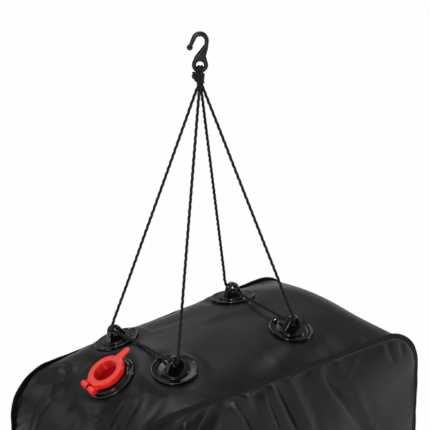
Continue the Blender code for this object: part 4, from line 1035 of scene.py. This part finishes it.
# %% Moulded PVC finish
# Soft PVC from a polished mould: almost wet gloss, clouds of 17 mm and a skin of 1.1 mm orange peel.
PEEL_SCALE = 900.0

lug_look, tree, shader = moulded_finish("moulded_pvc", scale=60.0, detail=4.0,
                                        tones=("050506", "0b0b0c"), roughness=(0.08, 0.2))
surface = node(tree, "TexCoord").outputs["Object"]
peel = node(tree, "TexNoise", {"Vector": surface, "Scale": PEEL_SCALE, "Detail": 3.0})
skin = node(tree, "Bump", {"Height": peel.outputs["Fac"], "Strength": 0.2, "Distance": 0.2 * MM})
feed(shader, {"Normal": skin.outputs[0]})
print(lug_look.name, "has", len(tree.nodes), "nodes")

# %% One lug, then its four copies
BOSS_RADIUS = 16.5 * MM
LUG_DISC = 1.4 * MM
LUG_UNDER = -1.2 * MM
BOSS_TOP = 3.0 * MM
GROOVE_FLOOR = LUG_DISC - 0.5 * MM
GROOVE_END = BOSS_RADIUS + 1.6 * MM
EAR_BASE = 12.5 * MM
EAR_FOOT = 2 * MM
EAR_TOP = 8 * MM
EAR_CENTRE = 10 * MM
EAR_HOLE = 4.5 * MM
EAR_THICKNESS = 6.5 * MM
EYELET_WALL = 1.6 * MM
EYELET_PROUD = 0.4 * MM

profile = rounded([(0, BOSS_TOP), (BOSS_RADIUS - 0.2 * MM, BOSS_TOP), (BOSS_RADIUS, GROOVE_FLOOR),
                   (BOSS_RADIUS + 1.2 * MM, GROOVE_FLOOR), (GROOVE_END, LUG_DISC),
                   (LUG_RADIUS - 2.4 * MM, LUG_DISC), (LUG_RADIUS - 1.6 * MM, LUG_DISC + 0.8 * MM),
                   (LUG_RADIUS, LUG_DISC + 0.7 * MM), (LUG_RADIUS, LUG_UNDER), (0, LUG_UNDER)],
                  [0, 0.7 * MM, 0.4 * MM, 0.4 * MM, 0.3 * MM, 0.3 * MM, 0.5 * MM, 0.9 * MM])
lug = turned("lug", profile, 96)
# The ear's sides run from its foot to where they touch the round top.
ear_rise = EAR_CENTRE - EAR_FOOT
touch = math.degrees(math.atan2(ear_rise, EAR_BASE) + math.asin(EAR_TOP / math.hypot(EAR_BASE, ear_rise)))
outline = [(-EAR_BASE, EAR_FOOT), (EAR_BASE, EAR_FOOT)]
outline += arc((0, EAR_CENTRE), EAR_TOP, 90 - touch, 90 + touch, 24)
hole = arc((0, EAR_CENTRE), EAR_HOLE, 0, 360, 40)[:-1]
joined_with(lug, plate("ear", [outline, hole], EAR_THICKNESS, 1.1 * MM))
half = EAR_THICKNESS / 2 + EYELET_PROUD
inner, outer = EAR_HOLE - 0.1 * MM, EAR_HOLE + EYELET_WALL
eyelet = turned("eyelet", rounded([(inner, half), (outer, half), (outer, -half), (inner, -half)],
                                  [0, 0.5 * MM, 0.5 * MM]), 40, closed=True)
eyelet.data.transform(Matrix.Translation((0, 0, EAR_CENTRE)) @ Matrix.Rotation(math.pi / 2, 4, "X"))
joined_with(lug, eyelet)
for name, place in LUG_SEATS.items():
    copy = bpy.data.objects.new(name + "_moulded", lug.data.copy())
    bpy.context.scene.collection.objects.link(copy)
    settle(copy, "bag", lug_look, [name], place)
bpy.data.objects.remove(lug, do_unlink=True)

# %% [markdown]
# The filler is a black moulding welded over a hole in the cloth. Its stepped flange and its neck are one
# spun profile, closed into a ring round the bore. A short post at its outer side holds the bar that the
# cap's knuckles are snapped over, and both are fused to it.

# %% Black fitting finish
# PVC from a plainer mould: a satin gloss in clouds of 22 mm, a little greyer than the lugs.
fitting_look, tree, shader = moulded_finish("moulded_fitting", scale=45.0, detail=3.0,
                                            tones=("0a0a0b", "101012"), roughness=(0.14, 0.26))
print(fitting_look.name, "has", len(tree.nodes), "nodes")

# %% Filler base
NECK_RADIUS = 18 * MM
NECK_BORE = 16 * MM
NECK_HEIGHT = 8.6 * MM
STEP_RADIUS = 24 * MM
STEP_TOP = 4.5 * MM
FLANGE_TOP = 2 * MM
FLANGE_UNDER = -2.2 * MM
HINGE_REACH = 24.7 * MM
HINGE_HEIGHT = 9.4 * MM
POST_DEEP = 2.2 * MM
POST_WIDE = 1.7 * MM
BAR_HALF = 11.5 * MM
BAR = 4 * MM

profile = rounded([(NECK_BORE, NECK_HEIGHT), (NECK_RADIUS, NECK_HEIGHT), (NECK_RADIUS, STEP_TOP),
                   (STEP_RADIUS, STEP_TOP), (STEP_RADIUS, FLANGE_TOP), (FLANGE_RADIUS, FLANGE_TOP),
                   (FLANGE_RADIUS, FLANGE_UNDER), (NECK_BORE, FLANGE_UNDER)],
                  [0, 0.5 * MM, 0.6 * MM, 1.2 * MM, 0.8 * MM, 1.4 * MM, 0])
base = turned("filler_base_moulded", profile, 96, closed=True)
joined_with(base, block("post", (-HINGE_REACH - POST_DEEP, -POST_WIDE, -2 * MM),
                        (-HINGE_REACH + POST_DEEP, POST_WIDE, HINGE_HEIGHT + POST_DEEP)))
joined_with(base, rod("bar", (-HINGE_REACH, -BAR_HALF, HINGE_HEIGHT),
                      (-HINGE_REACH, BAR_HALF, HINGE_HEIGHT), BAR))
settle(base, "bag", fitting_look, ["filler_base"], FILLER_SEAT)

# %% [markdown]
# The cap is soft red vinyl. Its thick ring closes over the neck, a deep cup plugs the bore, and a
# pull tab reaches towards the middle of the bag. The top face is more matt than the sides, and its
# red is painted paler as a painted sheen; the cup inside gets painted shade that makes it a deep dark
# red. A texture could not tell these places apart, so two attributes on the mesh's points mark them
# for the finish.

# %% Red vinyl finish
# Plasticised PVC: a strong red that glows a little at thin edges. It is mottled in spots of 8 mm, and
# its skin has pebbles of 0.7 mm.
MOTTLE_SCALE = 120.0
PEBBLE_SCALE = 1500.0

cap_look, tree, shader = new_finish("red_vinyl")
surface = node(tree, "TexCoord").outputs["Object"]
mottle = node(tree, "TexNoise", {"Vector": surface, "Scale": MOTTLE_SCALE, "Detail": 4.0})
handled = node(tree, "ValToRGB", {"Fac": mottle.outputs["Fac"]}, [(0.3, "fa1c0f"), (0.7, "ff2a18")])
cup_painted_shade = node(tree, "Attribute", attribute_name="cup_painted_shade")
upper_face = node(tree, "Attribute", attribute_name="upper_face")
# Painted sheen: the top face is mixed towards a paler red.
top_sheen_painted = node(tree, "Mix", {0: upper_face.outputs["Fac"], MIX_A: handled.outputs["Color"],
                           MIX_B: linear("fb4e45")}, data_type="RGBA")
# Painted shade: the cup is mixed towards a darker red downwards, less on its ridge crests.
cup_shade_mix = node(tree, "Mix", {0: cup_painted_shade.outputs["Fac"], MIX_A: top_sheen_painted.outputs[MIX_RESULT],
                             MIX_B: linear("b00808")}, data_type="RGBA")
worn = node(tree, "MapRange", {"Value": upper_face.outputs["Fac"], "To Min": 0.18, "To Max": 0.4})
pebbles = node(tree, "TexNoise", {"Vector": surface, "Scale": PEBBLE_SCALE, "Detail": 2.0})
skin = node(tree, "Bump", {"Height": pebbles.outputs["Fac"], "Strength": 0.15, "Distance": 0.2 * MM})
feed(shader, {"Base Color": cup_shade_mix.outputs[MIX_RESULT], "Roughness": worn.outputs["Result"],
              "Specular IOR Level": 0.32, "Subsurface Weight": 0.08,
              "Subsurface Radius": (3 * MM, 0.8 * MM, 0.6 * MM), "Normal": skin.outputs[0]})
print(cap_look.name, "has", len(tree.nodes), "nodes")

# %% Filler cap: ring, cup and plug in one profile
CAP_LEVEL = 13.0 * MM
CAP_RADIUS = 21.25 * MM
CAP_LOW = 6.4 * MM
CAP_UNDER = 10.2 * MM
SKIRT_RADIUS = 19.1 * MM
CUP_RADIUS = 13.75 * MM
CUP_TAPER = 0.7 * MM
CUP_FLOOR = 2.5 * MM
CUP_LOW = 1.0 * MM
PLUG_RADIUS = 14.9 * MM
# The cup's wall has four ridges. Their levels, their half height and the cup's depth are in mm.
RIDGE_LEVELS = (4.4, 6.3, 8.2, 10.1)
RIDGE_HALF = 0.6
CUP_DEEP = 10.5
RIDGE_PROUD = 0.7 * MM

cup = [(0, CUP_FLOOR), (CUP_RADIUS - CUP_TAPER, CUP_FLOOR)]
for level in RIDGE_LEVELS:
    wall = CUP_RADIUS - CUP_TAPER * (CAP_LEVEL / MM - level) / CUP_DEEP
    cup += [(wall, (level - RIDGE_HALF) * MM), (wall - RIDGE_PROUD, level * MM),
            (wall, (level + RIDGE_HALF) * MM)]
profile = cup + [(CUP_RADIUS, CAP_LEVEL), (CAP_RADIUS, CAP_LEVEL), (CAP_RADIUS, CAP_LOW),
                 (SKIRT_RADIUS, CAP_LOW), (SKIRT_RADIUS, CAP_UNDER), (PLUG_RADIUS, CAP_UNDER),
                 (PLUG_RADIUS - CUP_TAPER, CUP_LOW), (0, CUP_LOW)]
radii = [0, 0.8 * MM] + [0.3 * MM] * 3 * len(RIDGE_LEVELS)
radii += [1.3 * MM, 1.9 * MM, 0.9 * MM, 0.3 * MM, 0.3 * MM, 0.3 * MM, 0.6 * MM]
cap = turned("filler_cap_moulded", rounded(profile, radii), 96)
print("cap", len(cap.data.polygons), "faces before its tab")

# %% Filler cap: tab, hinge and marks
# The tab's half widths at its root and its round tip, its reach, its thickness, its drop and its turn.
TAB_ROOT = 5.3 * MM
TAB_TIP = 4.2 * MM
TAB_END = 35.6 * MM
TAB_THICKNESS = 2.6 * MM
TAB_DOWN = 1.35 * MM
TAB_TURN = math.radians(5)
KNUCKLE_NEAR = 2.0 * MM
KNUCKLE_END = 13.4 * MM
KNUCKLE_RADIUS = 3.5 * MM
BORE_END = KNUCKLE_END - 1.6 * MM
SNAP_HALF = 1.3 * MM

lay_flat = Matrix.Rotation(-math.pi / 2, 4, "X")
tab_side = [(16.5 * MM, TAB_ROOT + 1.6 * MM), (21.5 * MM, TAB_ROOT), (26 * MM, TAB_TIP + 0.5 * MM)]
tab_shape = [(x, -y) for x, y in tab_side] + arc((TAB_END - TAB_TIP, 0), TAB_TIP, -90, 90, 16)
tab = plate("tab", [tab_shape + tab_side[::-1]], TAB_THICKNESS, 0.8 * MM)
tab.data.transform(Matrix.Rotation(TAB_TURN, 4, "Z") @ Matrix.Translation((0, 0, CAP_LEVEL - TAB_DOWN))
                   @ lay_flat)
joined_with(cap, tab)
for side in (-1, 1):
    low, high = sorted((side * KNUCKLE_NEAR, side * KNUCKLE_END))
    joined_with(cap, block("web", (-HINGE_REACH, low + 0.9 * MM, 7.6 * MM),
                           (-16 * MM, high - 0.9 * MM, 10.4 * MM)))
    barrel = turned("barrel", rounded([(0, low), (KNUCKLE_RADIUS, low), (KNUCKLE_RADIUS, high), (0, high)],
                                      [0, 1.3 * MM, 1.3 * MM], 6), 40)
    barrel.data.transform(Matrix.Translation((-HINGE_REACH, 0, HINGE_HEIGHT)) @ lay_flat)
    joined_with(cap, barrel)
joined_with(cap, rod("bore", (-HINGE_REACH, -BORE_END, HINGE_HEIGHT), (-HINGE_REACH, BORE_END, HINGE_HEIGHT),
                     BAR + 0.6 * MM), "DIFFERENCE")
joined_with(cap, block("snap_slot", (-HINGE_REACH - SNAP_HALF, -BORE_END, HINGE_HEIGHT - 7 * MM),
                       (-HINGE_REACH + SNAP_HALF, BORE_END, HINGE_HEIGHT)), "DIFFERENCE")

# %% Marks on the cap for its painted sheen and painted shade
# Painted shade: the cup is painted darker downwards, but the crests of its ridges get little of it.
# In mm under the cap's top: where it is darkest, and between which depths the crests lie. The wall
# leans in by 1 mm in 15, and a point that is 0.35 mm further in is on a crest.
SKIN = 0.05 * MM
CREST_SHADE = 0.1
DARK_BELOW = 5
CREST_DEPTHS = (1.5, 9.3)
WALL_LEAN = 15
CREST_INSIDE = 0.35
TOP_EDGE = 0.3 * MM

depths, uppers = [], []
for point in cap.data.vertices:
    reach, below = point.co.xy.length, (CAP_LEVEL - point.co.z) / MM
    in_cup = reach < CUP_RADIUS + SKIN and point.co.z > CUP_FLOOR - SKIN
    between = CREST_DEPTHS[0] < below < CREST_DEPTHS[1]
    on_crest = between and reach < CUP_RADIUS - (below / WALL_LEAN + CREST_INSIDE) * MM
    depths.append((CREST_SHADE if on_crest else min(1.0, below / DARK_BELOW)) if in_cup else 0.0)
    uppers.append(1.0 if point.co.z > CAP_LEVEL - TOP_EDGE else 0.0)
for name, values in (("cup_painted_shade", depths), ("upper_face", uppers)):
    cap.data.attributes.new(name, "FLOAT", "POINT").data.foreach_set("value", values)
settle(cap, "filler_cap", cap_look, ["filler_cap"], FILLER_SEAT)

# %% [markdown]
# The hook is one nylon moulding with rounded edges, a ball at its tip and an eye for the rope. A curve
# with a round profile would be as thick as it is wide everywhere, and this hook isn't: it widens towards
# its eye. So its outline is drawn flat, and the edges of the plate are rounded nearly to a half circle.

# %% Hook finish
# Nylon: a satin black with soft reflections, in clouds of 11 mm.
hook_look, tree, shader = moulded_finish("moulded_nylon", scale=90.0, detail=4.0,
                                         tones=("070708", "0e0e0f"), roughness=(0.16, 0.3))
feed(shader, {"Specular IOR Level": 0.3})
print(hook_look.name, "has", len(tree.nodes), "nodes")

# %% Hook shape
HOOK_TURN = Matrix.Rotation(math.radians(-40), 4, "Z")
HOOK_THICKNESS = 4.7 * MM
HOOK_EDGE = 1.75 * MM
EYE_DROP = 32.3 * MM
EYE_RADIUS = 8.6 * MM
EYE_HOLE = 4.0 * MM
BEND_OUTER = 9.4 * MM
BEND_INNER = 4.7 * MM
BEND_DROP = 5.9 * MM
BEND_TALL = 1.09
TIP_HALF = 1.9 * MM
BALL_RADIUS = 3.3 * MM
tip = Vector((-10.6, -13.0)) * MM
toward = (Vector((-7.0, -6.0)) * MM - tip).normalized()
aside = Vector((-toward.y, toward.x)) * TIP_HALF


def bend_arc(radius, start, end, steps):
    """An arc of the hook's bend, which is a little taller than a circle."""
    return [(x, z * BEND_TALL - BEND_DROP) for x, z in arc((0.0, 0.0), radius, start, end, steps)]


outline = [tuple(tip + aside)] + bend_arc(BEND_OUTER, 155, 0, 28)
outline += [(8.4 * MM, -14.4 * MM), (6.3 * MM, -22.4 * MM)]
outline += arc((0.0, -EYE_DROP), EYE_RADIUS, 25, -205, 40)
outline += [(-5.2 * MM, -22.4 * MM), (BEND_INNER, -9.4 * MM)]
outline += bend_arc(BEND_INNER, 0, 140, 24) + [tuple(tip - aside)]
eye_hole = arc((0.0, -EYE_DROP), EYE_HOLE, 0, 360, 40)[:-1]
hook = plate("hook_moulded", [outline, eye_hole], HOOK_THICKNESS, HOOK_EDGE, roundness=5)
bpy.ops.mesh.primitive_uv_sphere_add(segments=32, ring_count=20, radius=BALL_RADIUS)
ball = bpy.context.object
ball.data.transform(Matrix.Translation((tip.x, 0, tip.y)))
joined_with(hook, ball)
settle(hook, "hook", hook_look, ["hook"], HOOK_TURN)

# %% [markdown]
# The two loops are hitched in the eye: their bights go through it side by side, and turns of rope cross
# over each other round the four strands under it. The turns are laid rope too, pulled tight, and each
# leans another way, so that the hitch is the tangled lump that hand-tied rope makes. Its sizes are in
# millimetres until a place goes into a route.

# %% The hitch: bights and turns
BIGHT_X = 1.6
BIGHT_Y = 4.6
BIGHT_Z = -36.6
BIGHT_RISE = 2.2
# Each turn: its middle, its radius, its lean to the side and to the front, and the angle it starts at.
TURNS = [
    ((-1.6, -0.3, -41.9), 5.3, 14, -16, 80),
    ((-1.9, 0.0, -44.3), 5.5, 9, -10, 100),
    ((-1.8, 0.0, -46.9), 5.2, 16, -4, 70),
    ((-0.8, 0.0, -49.6), 4.4, 30, 4, 95),
]
# A turn goes 15 steps of 13 degrees each way from its middle, is a little oval and climbs slowly. From
# its twelfth step on, each end is tucked in.
TURN_STEPS = 15
TURN_ANGLE = 13
TURN_OVAL = 0.92
TURN_CLIMB = 0.06
TUCK_FROM = 12
TUCK = 2.2

parts = []
for side in (-1, 1):
    x = side * BIGHT_X
    bight = [(x, BIGHT_Y - 0.3, -54), (x, BIGHT_Y + 0.1, -46), (x, BIGHT_Y, -39)]
    bight += [(x, BIGHT_Y * math.cos(a), BIGHT_Z + BIGHT_RISE * math.sin(a))
              for a in np.linspace(0.3, math.pi - 0.3, 7)]
    bight += [(x, -BIGHT_Y, -39), (x, -BIGHT_Y - 0.1, -46), (x, 0.3 - BIGHT_Y, -54)]
    parts.append(laid_rope(f"bight_{side}", [Vector(p) * MM for p in bight], side)[0])
for i, (middle, radius, lean, nod, start) in enumerate(TURNS):
    tilt = Matrix.Rotation(math.radians(lean), 3, "Y") @ Matrix.Rotation(math.radians(nod), 3, "X")
    loop = []
    for k in range(2 * TURN_STEPS + 1):
        angle = math.radians(start + k * TURN_ANGLE)
        off = k - TURN_STEPS
        reach = radius - TUCK * max(0.0, abs(off) - TUCK_FROM) / (TURN_STEPS - TUCK_FROM)
        spot = tilt @ Vector((reach * math.cos(angle), reach * TURN_OVAL * math.sin(angle), off * TURN_CLIMB))
        loop.append((spot + Vector(middle)) * MM)
    parts.append(laid_rope(f"turn_{i}", loop, i * 0.9)[0])
for part in parts:
    part.data.transform(HOOK_TURN)
print(len(parts), "bights and turns")

# %% The hitch: four strands that leave it
NECK_SPREAD_X = 7.3
NECK_SPREAD_Y = 5.3
NECK_TWIST = math.radians(170)
NECK_TOP = -44
NECK_END = -61.65
NECK_TAPER = 0.36
NECK_TIGHT = 2.3
# The strands turn round each other from this level upwards, over this height.
TWIST_LOW = -58.5
TWIST_TALL = 11

for sx in (-1, 1):
    for sy in (-1, 1):
        low = math.atan2(sy * NECK_SPREAD_Y, sx * NECK_SPREAD_X)
        spread = math.hypot(NECK_SPREAD_X, NECK_SPREAD_Y) / 2
        strand = []
        for z in np.linspace(NECK_TOP, NECK_END, 14):
            reach = max(NECK_TIGHT, spread + (z - NECK_END) * -NECK_TAPER)
            angle = low + NECK_TWIST * float(smooth_share((z - TWIST_LOW) / TWIST_TALL))
            strand.append(Vector((reach * math.cos(angle), reach * math.sin(angle), z)) * MM)
        parts.append(laid_rope(f"strand_{sx}_{sy}", strand, sx + sy)[0])
select_only(parts[0])
for other in parts[1:]:
    other.select_set(True)
bpy.ops.object.join()
knot = bpy.context.object
knot.name = "harness_hitch"
settle(knot, "bag", rope_look, ["harness_knot"], angle=80)

# %% [markdown]
# The outlet, its washer and the seal under the cap are plain turned solids, and their CAD shape is
# right as it is. They only get their finishes.

# %% Finishes for the pieces that stay
# Sealing rubber: matt and nearly black, with a grey bloom in patches of 5 mm.
BLOOM_SCALE = 200.0

rubber_look, tree, shader = new_finish("sealing_rubber")
surface = node(tree, "TexCoord").outputs["Object"]
bloom = node(tree, "TexNoise", {"Vector": surface, "Scale": BLOOM_SCALE, "Detail": 5.0})
tint = node(tree, "ValToRGB", {"Fac": bloom.outputs["Fac"]}, [(0.3, "151515"), (0.7, "202020")])
feed(shader, {"Base Color": tint.outputs["Color"], "Roughness": 0.7})

for name, look in (("outlet_base", fitting_look), ("outlet_spigot", fitting_look),
                   ("outlet_washer", rubber_look), ("filler_seal", rubber_look)):
    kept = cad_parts[name]
    kept.data.materials.clear()
    kept.data.materials.append(look)
    print(name, "keeps its shape and gets", look.name)
